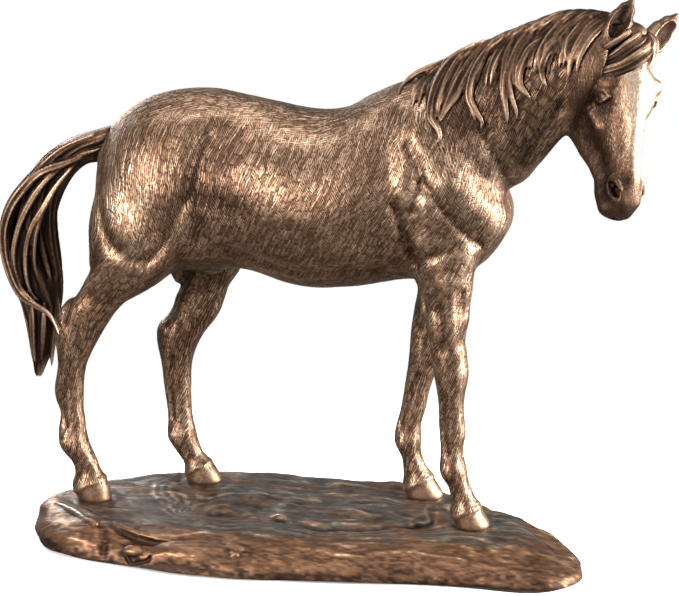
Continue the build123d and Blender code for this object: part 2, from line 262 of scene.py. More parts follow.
def add_node(field, node, grow=0.0):
    """Joins a CAD node's outer shell to the field, grown a little so that neighbours meet."""
    points, triangles = outer_shell(node)
    transform = openvdb.createLinearTransform(field.cell)
    grid = openvdb.FloatGrid.createLevelSetFromPolygons(
        points - field.low, triangles=triangles, transform=transform, halfWidth=FAR / field.cell
    )
    values = np.empty(field.count, np.float32)
    grid.copyToArray(values)
    field.values = np.minimum(field.values, values - grow)


def plain_form():
    """All the horse's castings as one body, with the pins' holes closed and the joints softened."""
    low = np.array([-124.0, -42.0, 4.0])
    high = np.array([166.0, 42.0, 258.0])
    field = Field(low, high, FORM_CELL)
    overlap = 0.4
    for node in ("torso", "neck", "head") + LEGS:
        add_node(field, node, overlap)
    for node in ("leg_dowels", "neck_dowels", "head_dowels", "forelock_pin", "mane_pins", "hoof_studs"):
        add_node(field, node, overlap)
    pins = np.array([v.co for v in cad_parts["leg_dowels"].data.vertices]) / MM
    for ahead in (False, True):
        for left in (False, True):
            pin = pins[((pins[:, 0] > 0) == ahead) & ((pins[:, 1] > 0) == left)].mean(0)
            field.rod([pin - (0, 0, 8), pin + (0, 0, 8)], [4.0, 4.0], soft=1.5)
    spigot_middle = np.array([-91.0, -5.0, 177.0])
    field.ball(spigot_middle, (12, 5, 5), soft=1.0)
    field.values += overlap
    x, y, z = field.places()
    soft = blur(field.values, 3.4 / FORM_CELL)
    firm = blur(field.values, 1.1 / FORM_CELL)
    above_legs = smooth_step(z, 106, 126) * (1 - smooth_step(x, 92, 112))
    field.values = soft * above_legs + firm * (1 - above_legs)
    under_chest = smooth_step(x, 15, 25) * (1 - smooth_step(x, 86, 96))
    front_joint = under_chest * np.exp(-(((z - FRONT_SEAM) / 12) ** 2))
    hind_joint = (1 - smooth_step(x, 5, 15)) * np.exp(-(((z - HIND_SEAM) / 8) ** 2))
    joints = (front_joint + hind_joint) * np.ones_like(y)
    field.settle(joints, 4.4)
    field.values -= (0.7 * joints).astype(np.float32)
    shanks = (1 - smooth_step(z, 96, 112)) * smooth_step(z, 34, 46) * 0.8
    field.settle(shanks * np.ones_like(x + y), 2.2)
    field.values -= (0.35 * shanks).astype(np.float32)
    return field


def save_mesh(name, points, quads):
    """A mesh object from points in millimetres."""
    mesh = bpy.data.meshes.new(name)
    mesh.vertices.add(len(points))
    mesh.vertices.foreach_set("co", (points * MM).astype(np.float32).ravel())
    mesh.loops.add(4 * len(quads))
    mesh.loops.foreach_set("vertex_index", quads.astype(np.int32).ravel())
    mesh.polygons.add(len(quads))
    mesh.polygons.foreach_set("loop_start", np.arange(0, 4 * len(quads), 4, dtype=np.int32))
    mesh.update(calc_edges=True)
    mesh.shade_smooth()
    piece = bpy.data.objects.new(name, mesh)
    bpy.context.scene.collection.objects.link(piece)
    return piece


# ================================ Sculpting ================================
def sculpt_body(form):
    """Muscles, bones and folds of the trunk and neck. Paths for both sides are (x, z) in side view."""
    form.swell([(-93, 0, 190), (-80, 0, 199), (-62, 0, 205), (-48, 0, 206)], 4, -0.9)
    form.swell([(-38, 0, 205), (-5, 0, 199), (18, 0, 200)], 5, -0.6)
    form.swell([(26, 0, 204), (46, 0, 211)], 6, 0.8)
    # Rump and thigh
    form.both([(-45, 192)], 9, 1.5)
    form.both([(-36, 184)], 9, -1.1)
    form.both([(-70, 186), (-70, 165), (-72, 152)], 15, 2.0)
    form.both([(-41, 186), (-43, 174), (-44, 163), (-44, 152), (-43, 145)], 5.0, -2.4)
    form.both([(-92, 172), (-90, 158), (-87, 146), (-82, 137)], 3.0, -1.2)
    form.both([(-82, 138), (-74, 133), (-66, 134)], 4.0, -1.0)
    form.both([(-49, 160), (-54, 150), (-59, 140), (-67, 131)], 2.6, -1.1)
    form.both([(-46, 156), (-51, 145), (-58, 135), (-68, 127)], 3.6, 1.0)
    form.both([(-36, 160), (-26, 156)], 5.5, -0.9)
    form.both([(-37, 146), (-26, 142)], 4.5, 0.7)
    # Barrel
    form.both([(-12, 168), (15, 166)], 19, 1.2)
    form.both([(-28, 136), (0, 129), (36, 132)], 4.5, -1.2)
    form.both([(38, 194), (39, 176)], 7, -1.0)
    # Shoulder and chest
    form.both([(52, 197), (58, 186), (66, 173)], 9, 1.4)
    form.both([(49, 187), (53, 180), (55, 173), (54, 166), (52, 160)], 2.4, -1.1)
    form.both([(56, 171), (61, 166), (65, 160), (70, 154), (75, 148), (79, 144)], 2.2, -1.0)
    form.both([(59, 171), (64, 165), (68, 159)], 1.3, 0.35)
    form.both([(57, 161), (59, 153), (56, 146)], 5.5, 1.7)
    form.both([(47, 172), (50, 164)], 4.0, 1.0)
    form.both([(68, 172), (74, 162)], 7, 1.2)
    form.both([(44, 161), (46, 152), (49, 143), (52, 135)], 2.6, -1.9)
    form.both([(55, 137), (62, 140), (70, 143), (77, 145)], 2.2, -1.0)
    form.swell([(79, -21, 150), (81, -18, 137)], 2.6, -1.0)
    form.swell([(79, 21, 150), (81, 18, 137)], 2.6, -1.0)
    form.swell([(98, 0, 160), (96, 0, 148), (87, 0, 136)], 4.5, -1.1)
    form.swell([(95, 0, 170)], 6, 1.6)
    form.swell([(98, 6, 158), (98, -6, 158)], 8, -1.5)
    form.swell([(97, 0, 160), (96, 0, 150), (92, 0, 143)], 10, -1.9)
    # Neck
    form.both([(80, 193), (85, 184), (88, 175), (91, 167)], 3.2, -1.3)
    form.both([(82, 212), (88, 201), (92, 189)], 6, 1.3)
    form.both([(113, 204), (104, 192), (96, 178)], 3, -1.0)
    form.ball((-46, -2, 126), (7, 4.5, 5.5), soft=3)


LEG_PATHS = {  # side, then the middle of knee or hock, cannon, fetlock, pastern and hoof, as (x, z)
    "front_right_leg": (-1, (68, 85), (68, 60), (69.5, 41), (73, 30), (77, 20)),
    "front_left_leg": (1, (50.5, 85), (45, 60), (42.5, 41), (46, 30), (50, 20)),
    "hind_right_leg": (-1, (-104, 92), (-109, 62), (-108, 42), (-102, 31), (-99, 20)),
    "hind_left_leg": (1, (-66, 86), (-68, 60), (-67, 38), (-62, 29), (-56, 20)),
}


def beside(place, ahead, up):
    """A place in side view, moved by some millimetres."""
    return (place[0] + ahead, place[1] + up)


def sculpt_legs(form):
    """Joints, tendons and hooves."""
    for name, (side, knee, cannon, fetlock, pastern, hoof) in LEG_PATHS.items():
        front = name.startswith("front")
        form.swell([beside(knee, 4, 0)], 5, 0.2, side)
        behind = [beside(knee, -2.5, -10), beside(cannon, -2.6, 0), beside(fetlock, -2.5, 8)]
        form.swell(behind, 1.3, -1.1, side)
        form.swell([beside(knee, 1, 6), beside(knee, 1, -6)], 1.6, -0.5, side)
        form.swell([beside(fetlock, -3, -1)], 3.5, 0.9, side)
        form.swell([beside(fetlock, 3.5, 1)], 3.5, 0.5, side)
        form.swell([beside(hoof, -9, -2), beside(hoof, -2, 3), beside(hoof, 5, 5)], 1.1, 0.8, side)
        form.swell([beside(pastern, -5, -6), beside(pastern, 4, -1)], 1.8, -0.5, side)
        if name == "front_right_leg":
            form.swell([(78, 120), (77, 112)], 9, 1.3, side)
            form.swell([(76, 88), (75, 78)], 5, -0.3, side)
            form.swell([(75, 44)], 4.5, -0.6, side)
        if front:
            form.swell([beside(knee, -5, 30), beside(knee, -3, 12)], 2.2, -0.9, side)
            form.swell([beside(knee, 4, 38), beside(knee, 4, 14)], 2.0, -0.7, side)
            form.swell([beside(knee, -1, 42), beside(knee, 0, 20)], 4.0, 0.9, side)
        else:
            form.swell([beside(knee, -9, 4)], 3.5, 0.5, side)
            form.swell([beside(knee, -1, 18), beside(knee, -5, 8)], 2.4, -0.9, side)
            form.swell([beside(knee, 12, 38), beside(knee, -1, 22)], 2.2, -1.3, side)


def sculpt_jaw(form):
    """Jaw, cheeks, chin and nasal bone, which reach past the head's joint."""
    form.swell([on_head(0.3, 0.08, 0), on_head(0.5, 0.05, 0), on_head(0.78, 0.02, 0)], 3.2, 0.6)
    for side in (-1, 1):
        under = [
            (0.3, -0.37), (0.45, -0.43), (0.58, -0.345), (0.68, -0.262), (0.78, -0.205), (0.87, -0.2),
            (0.95, -0.175),
        ]
        form.rod([on_head(a, n, 0.05 * side) for a, n in under], [5.5, 5.3, 5.0, 4.6, 4.3, 4.3, 4.0], soft=3)
        form.swell([on_head(0.33, -0.36, 0.15 * side), on_head(0.43, -0.38, 0.13 * side)], 7, 2.1)
        form.swell([on_head(0.5, -0.25, 0.13 * side), on_head(0.68, -0.17, 0.1 * side)], 3.5, -0.8)
        under_jaw = ((0.2, -0.42, 0.14), (0.3, -0.51, 0.13), (0.42, -0.56, 0.1))
        form.swell([on_head(down, forward, left * side) for down, forward, left in under_jaw], 2.6, -2.2)
        form.swell([on_head(0.48, 0.0, 0.1 * side), on_head(0.62, -0.02, 0.085 * side)], 2.6, -0.8)
    form.swell([on_head(0.95, -0.23, 0)], 3.2, 1.0)
    form.ball(on_head(-0.01, -0.2, -0.04), (8, 7, 7), soft=4)
    form.swell([on_head(0.06, -0.12, -0.17), on_head(0.22, -0.14, -0.17)], 3, -1.0)
    form.ball(on_head(0.03, -0.02, 0.0), (7, 6, 9), soft=4)
    form.swell([on_head(0.86, -0.27, 0)], 2.6, -0.8)


def sculpt_eye(head, side, forward, wide):
    """One eye in its socket, with a heavy brow and two lids."""
    def at(down, ahead, left):
        return on_head(down, forward + ahead, left * side * wide)
    head.ball(at(0.3, 0.0, 0.11), (4.4, 4.4, 4.4), soft=2.5)
    head.ball(at(0.27, 0.035, 0.125), (4.2, 3.2, 3.6), soft=1.6)
    head.swell([at(0.35, -0.03, 0.16), at(0.36, 0.03, 0.15)], 2.6, -1.0)
    head.ball(at(0.335, 0.0, 0.135), (2.7, 2.7, 2.7), soft=0.3)
    upper = [
        at(0.365, -0.045, 0.148), at(0.325, -0.038, 0.163), at(0.305, -0.002, 0.168),
        at(0.315, 0.032, 0.16), at(0.35, 0.05, 0.142),
    ]
    head.rod(upper, [0.7, 1.2, 1.4, 1.2, 0.7], soft=1.2)
    under = [at(0.35, 0.05, 0.14), at(0.37, 0.02, 0.155), at(0.375, -0.014, 0.157), at(0.365, -0.045, 0.146)]
    head.rod(under, [0.5, 0.8, 0.8, 0.5], soft=1.2)
    head.swell([at(0.41, -0.04, 0.16), at(0.415, 0.03, 0.145)], 1.6, -0.9)
    head.swell([at(0.42, -0.1, 0.16), at(0.5, -0.06, 0.14)], 2.0, 1.3)


def sculpt_nostril(head, side, wide):
    """One nostril: flared, deep and rimmed, with the corner of the mouth behind it."""
    def at(down, forward, left):
        return on_head(down, forward, left * side * wide)
    head.swell([at(0.84, -0.06, 0.085), at(0.9, -0.045, 0.08)], 3.6, 1.3)
    rim = [
        at(0.885, -0.11, 0.088), at(0.83, -0.11, 0.092), at(0.808, -0.08, 0.094), at(0.83, -0.035, 0.094),
        at(0.885, -0.008, 0.084),
    ]
    head.rod(rim, [0.6, 1.0, 1.3, 1.1, 0.6], soft=1.4)
    opening = [at(0.848, -0.08, 0.098), at(0.882, -0.062, 0.1), at(0.918, -0.04, 0.092)]
    head.rod(opening, [1.7, 2.6, 1.7], soft=0.4, cut=True)
    head.rod([at(0.87, -0.075, 0.07), at(0.9, -0.06, 0.065)], [1.5, 1.5], soft=0.4, cut=True)
    head.swell([at(0.95, -0.03, 0.06)], 2.4, 0.7)
    head.swell([at(1.0, -0.13, 0.03), at(0.96, -0.15, 0.065), at(0.9, -0.18, 0.085)], 0.8, -1.3)


EARS = (  # root's place to the left, lean to the left and how far the ear's hollow faces left
    (-0.145, 0.38, -0.45),
    (0.12, 0.72, 0.35),
)


def sculpt_ear(head, root_left, lean_left, face_left):
    """One ear: a leaf hollowed out behind its rim, on a thick root."""
    axis = unit(-DOWN_FACE + 0.45 * FORWARD + lean_left * TO_LEFT)
    facing = FORWARD + face_left * TO_LEFT
    facing = unit(facing - axis * (facing @ axis))
    across = np.cross(axis, facing)
    root = on_head(0.03, -0.07, root_left)
    stem = [root + along * axis for along in (0, 5, 10, 15, 20.5)]
    head.rod(stem, [4.6, 5.7, 5.3, 3.7, 0.8], soft=1.2)
    axes = (across, facing, axis)
    head.ball(root + 9.8 * axis + 4.9 * facing, (3.9, 4.4, 8.4), axes, soft=0.6, cut=True)
    head.ball(root + 7 * axis + 3.2 * facing, (2.8, 3.2, 5.0), axes, soft=0.6, cut=True)
    head.ball(root + 9 * axis - 9.2 * facing, (9, 5.2, 16), axes, soft=0.8, cut=True)


def sculpt_ears(field):
    """Both ears, whose roots cross the joint between neck and head."""
    for ear in EARS:
        sculpt_ear(field, *ear)


def sculpt_head(head):
    """The fine shapes of the head, on its own grid."""
    for side in (-1, 1):
        forward, wide = (-0.1, 1.0) if side < 0 else (-0.02, 0.9)
        if side > 0:
            head.ball(on_head(0.31, -0.01, 0.07), (9, 6, 4.5), (DOWN_FACE, FORWARD, TO_LEFT), soft=4)
        sculpt_eye(head, side, forward, wide)
        sculpt_nostril(head, side, wide)
    head.swell(
        [on_head(1.02, -0.13, -0.035), on_head(1.035, -0.125, 0), on_head(1.02, -0.13, 0.035)], 0.8, -1.2
    )
    sculpt_ears(head)


# ================================ Chased hair ================================
HAIR_LAY = [  # side view (x, z) and the angle the hair runs at there, in degrees above +X
    (-20, 182, 55), (0, 165, 62), (20, 168, 65), (-20, 150, 66), (0, 138, 72), (30, 188, 60), (32, 150, 70),
    (-76, 196, 48), (-56, 199, 42), (-92, 182, 72), (-50, 190, 55), (-75, 170, 88), (-65, 160, 90),
    (-86, 158, 93),
    (-60, 176, 84), (-72, 146, 80), (-43, 168, 84), (-34, 150, 60), (-66, 130, 35), (-84, 122, 32),
    (-95, 114, 48),
    (-108, 95, 70), (-109, 60, 76), (-108, 35, 70), (-55, 120, 65), (-66, 90, 75), (-68, 60, 76),
    (-64, 30, 70),
    (48, 186, 66), (64, 172, 76), (57, 156, 52), (76, 162, 62), (56, 146, 50), (88, 150, 66), (64, 134, 62),
    (65, 110, 64), (66, 90, 70), (67, 60, 76), (52, 110, 66), (46, 60, 76), (76, 206, 62), (92, 204, 56),
    (100, 222, 50), (70, 195, 72), (58, 206, 66), (112, 205, 52), (140, 215, 84), (143, 185, 88),
    (120, 205, 60),
]
HAIR_LAY_REACH = 13.0
STRAND_LONG, STRAND_WIDE = 5.0, 0.8
RANDOM = np.random.default_rng(11).random(4096)


def scatter(*keys):
    """A repeatable random number from 0 to 1 for each set of whole numbers."""
    mixed = np.zeros_like(keys[0], dtype=np.int64)
    for factor, key in zip((73856093, 19349663, 83492791), keys):
        mixed ^= key.astype(np.int64) * factor
    return RANDOM[(mixed ^ (mixed >> 9)) & 4095]


def wander(u, v, seed):
    """Smooth random values from -1 to 1 over a plane, one unit across."""
    u, v = np.broadcast_arrays(u, v)
    column, row = np.floor(u), np.floor(v)
    a, b = u - column, v - row
    a, b = a * a * (3 - 2 * a), b * b * (3 - 2 * b)
    corner = [scatter(column + i, row + j, np.full_like(u, seed)) for j in (0, 1) for i in (0, 1)]
    low = corner[0] * (1 - a) + corner[1] * a
    high = corner[2] * (1 - a) + corner[3] * a
    return 2 * (low * (1 - b) + high * b) - 1


def strands(u, v, seed):
    """Height from 0 to 1 of overlapping pointed strands that run along u."""
    v = v / STRAND_WIDE + 0.7 * wander(u / 7.0, v / 5.0, seed) + 0.4 * wander(u / 2.6, v / 1.6, seed + 3)
    row = np.floor(v)
    shifted = u / STRAND_LONG + 7.3 * scatter(row, row * 0 + seed, row * 0 + 5)
    column = np.floor(shifted)
    across, along = np.abs(v - row - 0.5) * 2, np.abs(shifted - column - 0.5) * 2
    strength = 0.4 + 0.6 * scatter(row, column, row * 0 + seed)
    narrow = 0.35 + 0.65 * (1 - along**5)
    return strength * np.clip(1 - (across / narrow) ** 2, 0, 1)


def lay_angle(x, z):
    """Angle of the hair in side view, in radians."""
    total, weights = 0, 0
    for place_x, place_z, degrees in HAIR_LAY:
        gap = (x - place_x) ** 2 + (z - place_z) ** 2
        weight = np.exp(-gap / HAIR_LAY_REACH**2) + 1e-4 / (1 + gap)
        total, weights = total + weight * math.radians(degrees), weights + weight
    return total / weights


MAP_LOW, MAP_HIGH, MAP_CELL = (-126.0, 2.0), (170.0, 262.0), 2.0


def comb():
    """A map over the side view whose level lines run with the hair, one millimetre apart on the average.
    Its slope is fitted to the direction across the hair, by relaxing towards it."""
    x = np.arange(MAP_LOW[0], MAP_HIGH[0], MAP_CELL)[:, None]
    z = np.arange(MAP_LOW[1], MAP_HIGH[1], MAP_CELL)[None, :]
    angle = lay_angle(x, z)
    slope_x, slope_z = -np.sin(angle) * MAP_CELL, np.cos(angle) * MAP_CELL
    step_x, step_z = (slope_x[1:] + slope_x[:-1]) / 2, (slope_z[:, 1:] + slope_z[:, :-1]) / 2
    level = -math.sin(1.1) * x + math.cos(1.1) * z
    count = np.zeros(level.shape)
    count[1:] += 1
    count[:-1] += 1
    count[:, 1:] += 1
    count[:, :-1] += 1
    for _ in range(3000):
        total = np.zeros(level.shape)
        total[1:] += level[:-1] + step_x
        total[:-1] += level[1:] - step_x
        total[:, 1:] += level[:, :-1] + step_z
        total[:, :-1] += level[:, 1:] - step_z
        level = total / count
    return level


COMB = comb()


def combed(x, z):
    """The value of the hair map at places in side view."""
    across, up = (x - MAP_LOW[0]) / MAP_CELL, (z - MAP_LOW[1]) / MAP_CELL
    column = np.clip(across.astype(int), 0, COMB.shape[0] - 2)
    row = np.clip(up.astype(int), 0, COMB.shape[1] - 2)
    a, b = across - column, up - row
    low = COMB[column, row] * (1 - a) + COMB[column + 1, row] * a
    high = COMB[column, row + 1] * (1 - a) + COMB[column + 1, row + 1] * a
    return low * (1 - b) + high * b


def hair(points, normals):
    """Height from 0 to 1 of the chased hair at every point: combed strands in side view, upright ones in
    front and rear view, and ones along the back in top view. A point takes those of its nearest view."""
    x, y, z = points.T
    facing = np.abs(normals) ** 5
    facing /= facing.sum(1)[:, None]
    views = (
        (0, z + 0.2 * y, y + 0.25 * z * np.sign(y)),
        (1, 0.5 * x + 0.87 * z, combed(x, z) + 0.3 * np.abs(y)),
        (2, x, y + 0.15 * x * np.sign(y)),
    )
    height = np.zeros(len(points))
    for axis, u, v in views:
        height = np.maximum(height, smooth_step(facing[:, axis], 0.15, 0.45) * strands(u, v, 31 * axis + 3))
    head = smooth_step(x, 113, 121)
    if head.any():
        height = height * (1 - head) + face_hair(points, normals) * head
    return height


def face_hair(points, normals):
    """Shorter, finer hair that runs down the face and back over the cheeks."""
    down, forward, left = ((points - POLL) @ axis * 1.45 for axis in (DOWN_FACE, FORWARD, TO_LEFT))
    ahead = np.abs(normals @ FORWARD) ** 4
    beside = np.abs(normals @ TO_LEFT) ** 4
    share = ahead / (ahead + beside + 1e-6)
    front = strands(down, left + 0.2 * down * np.tanh(left / 3), 71)
    cheek = strands(0.9 * down - 0.35 * forward, forward + 0.35 * down, 83)
    return np.maximum(smooth_step(share, 0.2, 0.55) * front, smooth_step(1 - share, 0.2, 0.55) * cheek)


# ================================ Castings ================================
HAIR_DEEP = 0.26
CELLS = {"torso": 0.45, "neck": 0.42, "head": 0.32}
LEG_CELL = 0.4


def sample(field, points):
    """Values of a field at points, in between its cells."""
    at = np.clip((points - field.low) / field.cell, 0, np.array(field.count) - 1.001)
    first = at.astype(int)
    share = at - first
    total = np.zeros(len(points))
    for corner in range(8):
        step = np.array([corner & 1, corner >> 1 & 1, corner >> 2 & 1])
        weight = np.where(step, share, 1 - share).prod(1)
        total += weight * field.values[tuple((first + step).T)]
    return total


def normals_of(points, quads):
    """Unit normals at the points of a quad mesh."""
    corners = points[quads]
    facing = np.cross(corners[:, 2] - corners[:, 0], corners[:, 3] - corners[:, 1])
    total = np.stack([
        sum(np.bincount(quads[:, k], facing[:, i], len(points)) for k in range(4)) for i in range(3)
    ], 1)
    return total / np.maximum(np.linalg.norm(total, axis=1), 1e-12)[:, None]


def hair_depth(points):
    """How deep the hair is cut: none on the hooves, lips, eyes and inside the ears, and finer on the face."""
    deep = HAIR_DEEP * smooth_step(points[:, 2], GROUND + 5, GROUND + 10)
    head = smooth_step(points[:, 0], 112, 122)
    deep *= 1 - 0.45 * head
    for left in (-1, 1):
        for place, radius in (((0.34, -0.08, 0.15), 4.5), ((0.9, -0.06, 0.09), 6.0)):
            gap = np.linalg.norm(points - on_head(place[0], place[1], place[2] * left), axis=1)
            deep *= smooth_step(gap, 0.6 * radius, 1.4 * radius)
    down = (points - POLL) @ DOWN_FACE / HEAD_LENGTH
    deep *= 1 - head * smooth_step(down, 0.86, 0.96)
    deep *= 1 - head * smooth_step(-down, 0.0, 0.06)
    return deep


def set_numbers(mesh, name, values):
    """Stores one number per vertex."""
    layer = mesh.attributes.new(name, "FLOAT", "POINT")
    layer.data.foreach_set("value", values.astype(np.float32))


def settle_in(piece, node):
    """Puts a piece on the body in place of a CAD node."""
    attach(piece, "root")
    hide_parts(node)


def trim(piece, cuts):
    """Cuts a piece by planes and closes each cut with a flat face.
    A cut is a point, the normal of the side that goes, and a test for the faces it concerns."""
    shape = bmesh.new()
    shape.from_mesh(piece.data)
    for point, normal, concerns in cuts:
        point = Vector(point) * MM
        faces = [f for f in shape.faces if concerns is None or concerns(f.verts[0].co / MM)]
        geometry = set(faces)
        for face in faces:
            geometry.update(face.edges)
            geometry.update(face.verts)
        found = bmesh.ops.bisect_plane(
            shape, geom=list(geometry), plane_co=point, plane_no=normal, clear_outer=True
        )["geom_cut"]
        rim = [e for e in found if isinstance(e, bmesh.types.BMEdge) and e.is_boundary]
        caps = bmesh.ops.edgeloop_fill(shape, edges=rim)["faces"]
        for edge in rim:
            edge.smooth = False
        for face in caps:
            face.smooth = False
    shape.to_mesh(piece.data)
    shape.free()


PAINTED_LIGHT_PATCHES = (  # x, z, spread, and how much darker (or lighter, below 0) than the rest: painted shade on the flank, painted highlight on the thigh and rump and on the shoulder
    (-40, 166, 15, 1.1),
    (-77, 158, 26, -0.7),
    (62, 166, 18, -0.5),
)


def painted_light_and_tone(points):
    """Painted shade and painted highlight, darker above 0 and lighter below 0: painted shade under the mane,
    in the flank hollow, on the right of the head and on the ears, and painted highlight down the left half of
    the face, on the thigh and rump and on the shoulder. It is also darker at the muzzle and down the legs."""
    x, _, z = points.T
    rel = points - POLL
    down, forward, left = rel @ DOWN_FACE / HEAD_LENGTH, rel @ FORWARD, rel @ TO_LEFT
    head = smooth_step(x, 114, 124)
    muzzle = smooth_step(down, 0.76, 0.88)
    # painted shade on the ears
    ears = smooth_step(-down, 0.02, 0.1)
    # painted shade on the right of the head
    right = 1 - smooth_step(left, -3, 4)
    # painted highlight down the left half of the face
    painted_face_highlight = smooth_step(left + 11 - 12.5 * down, -3, 3) * smooth_step(forward, -9, -3) * (1 - muzzle)
    painted_face_highlight *= smooth_step(down, 0.08, 0.2) * (1 - 0.85 * smooth_step(left, 1, 7))
    crest_x, crest_z = np.array(CREST).T
    below = np.interp(x, crest_x, crest_z) - z
    # painted shade on the neck below the mane
    painted_shade_under_mane = smooth_step(x, 58, 72) * (1 - head) * (1 - smooth_step(below, 26, 44))
    shade = head * (np.clip(0.8 * right + 1.5 * muzzle + ears, 0, 1.6) - 2.6 * painted_face_highlight)
    shade += 1.2 * painted_shade_under_mane + 0.35 * (1 - smooth_step(z, 96, 126))
    for near_x, near_z, spread, amount in PAINTED_LIGHT_PATCHES:
        shade += amount * np.exp(-((x - near_x) ** 2 + (z - near_z) ** 2) / spread**2)
    return shade


def casting(name, form, relief, low, high, cell, cuts, detail=None):
    """One casting: the form in a box, with hair, cut to its joints."""
    field = form.finer(low, high, cell)
    if detail:
        detail(field)
        field.values = blur(field.values, 0.6)
    points, quads = field.surface()
    normals = normals_of(points, quads)
    height = hair(points, normals)
    points = points + normals * (hair_depth(points) * (height - 0.5))[:, None]
    inside = np.ones(len(points), bool)
    for point, normal, concerns in cuts:
        if concerns is None:
            inside &= (points - np.array(point)) @ np.array(normal) < 1.5
    quads = quads[inside[quads].all(1)]
    used, packed = np.unique(quads, return_inverse=True)
    piece = save_mesh(name, points[used], packed.reshape(-1, 4))
    share = hair_depth(points[used]) / HAIR_DEEP
    set_numbers(piece.data, "strand", 0.4 + share * (height[used] - 0.4))
    # the painted shade and highlight go on the piece as its shade number
    set_numbers(piece.data, "shade", painted_light_and_tone(points[used]))
    if detail:
        relief = Field(low, high, 2 * cell)
        relief.values = blur(field.values[::2, ::2, ::2], 1.2 / cell)
        relief.count = np.array(relief.values.shape)
    set_numbers(piece.data, "relief", np.clip(0.5 + sample(relief, points[used]) / 1.6, 0, 1))
    trim(piece, cuts)
    settle_in(piece, name)
    return piece


def reach_of(node, margin):
    """A CAD node's box in millimetres, grown by a margin."""
    low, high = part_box(node)
    return np.array(low) / MM - margin, np.array(high) / MM + margin


def horse_form():
    """The sculpted form of the whole horse."""
    form = plain_form()
    foot = int((GROUND + 1 - form.low[2]) / form.cell)
    form.values[:, :, :foot] = form.values[:, :, foot:foot + 1]
    sculpt_body(form)
    sculpt_legs(form)
    sculpt_jaw(form)
    pins = form.like()
    add_node(pins, "mane_pins", 1.0)
    form.blend(pins.values, (slice(None),) * 3, 2.5)
    return form


def horse_castings(form):
    """The torso, neck, head and legs."""
    relief = form.like()
    relief.values = blur(form.values, 2.4 / form.cell)
    made = []
    neck_point, neck_normal = NECK_SEAM
    head_point, head_normal = HEAD_SEAM
    low, high = reach_of("torso", 4)
    torso_cuts = [
        (neck_point, neck_normal, None),
        ((0, 0, HIND_SEAM), (0, 0, -1), lambda at: at.x < 20 and at.z < HIND_SEAM + 1),
        ((0, 0, FRONT_SEAM), (0, 0, -1), lambda at: at.x >= 20 and at.z < FRONT_SEAM + 1),
    ]
    made.append(casting("torso", form, relief, low, high, CELLS["torso"], torso_cuts))
    low, high = reach_of("neck", 4)
    made.append(casting("neck", form, relief, low, high, CELLS["neck"], [
        (neck_point, -neck_normal, None), (head_point, head_normal, None)], sculpt_ears))
    low, high = reach_of("head", 4)
    made.append(casting("head", form, relief, low, high, CELLS["head"], [
        (head_point, -head_normal, None)], sculpt_head))
    for name in LEGS:
        seam = FRONT_SEAM if name.startswith("front") else HIND_SEAM
        low, high = reach_of(name, 9)
        low[2], high[2] = GROUND - 3, seam + 2.5
        low[1], high[1] = (max(low[1], 2), high[1]) if "left" in name else (low[1], min(high[1], -2))
        made.append(casting(name, form, relief, low, high, LEG_CELL, [
            ((0, 0, seam), (0, 0, 1), None), ((0, 0, GROUND - 0.4), (0, 0, -1), None)]))
    return made


# ================================ Mane, forelock and tail ================================
# Locks are paths of (x, z) in side view that lie on the right of the neck, with the radius of each.
MANE_LOCKS = [
    (1.5, (61.6, 220.9), (54.4, 217.7), (47.1, 213.7), (43.6, 210.1), (41.9, 205.8)),
    (2.5, (74.3, 228.8), (65.1, 221.8), (60, 214), (57.9, 205.4), (58, 199), (61.1, 194.8), (62.4, 190.9),
     (59.9, 187.4)),
    (1.7, (78.6, 230.6), (69.3, 223.6), (64.3, 216.3), (61.4, 207.7), (60.6, 201.2), (62.4, 197)),
    (2.0, (81.9, 230.7), (72.7, 222.9), (67.7, 214.2), (64.8, 206.5), (62.8, 200.4), (61.9, 196.1)),
    (1.6, (77.8, 225.1), (72, 215.2), (68.7, 207.9), (65.3, 203.5), (62.8, 197.8)),
    (2.1, (89.1, 231.3), (82, 228.2), (77, 222.1), (74.1, 214.4), (73.8, 207.2), (76.9, 201.7),
     (79.6, 197.1), (78.4, 192.8)),
    (1.7, (86.1, 232.5), (77.8, 225.5), (73.7, 217.8), (72.9, 209.3), (75.2, 201.7), (77.9, 195.7)),
    (1.8, (93.3, 234.7), (89.6, 227.5), (88.5, 219.1), (88.3, 210.6), (89.7, 203), (90.7, 195.3)),
    (1.5, (96.2, 234.8), (92.2, 226.7), (90.3, 217), (91.7, 208.6), (94, 202.3), (94.5, 197.2)),
    (1.5, (98.7, 236.9), (93, 228.4), (90.6, 220), (89.5, 211.5)),
    (1.9, (103.8, 232.5), (98.5, 227.7), (95.3, 220.1), (95, 214.2), (98, 210), (100.6, 207.1)),
    (1.6, (101.6, 236.2), (95.5, 228.5), (93.1, 220.9), (94.2, 212.9), (98.9, 208.4)),
    (1.9, (113, 233.5), (107.6, 229.6), (104.8, 224.5), (104.1, 218.6), (105.5, 214.9), (107.2, 212.4)),
    (1.5, (110.4, 237.2), (105.1, 230.8), (103.2, 224.5), (104.6, 216.1)),
    (2.1, (124.4, 241.7), (119.1, 238.7), (115.9, 234), (114.3, 229), (114.9, 223.6)),
    (1.6, (120.6, 242), (115.4, 237.3), (113, 231.4), (114, 224.8)),
]
CREST = [  # top of the mane in side view
    (57, 217.5), (63, 221), (72, 226), (80, 229.5), (89, 233.5), (97, 237.5), (106, 241), (114, 244),
    (123, 244.5), (131, 243.5), (138, 241),
]
CREST_LOCKS = 58
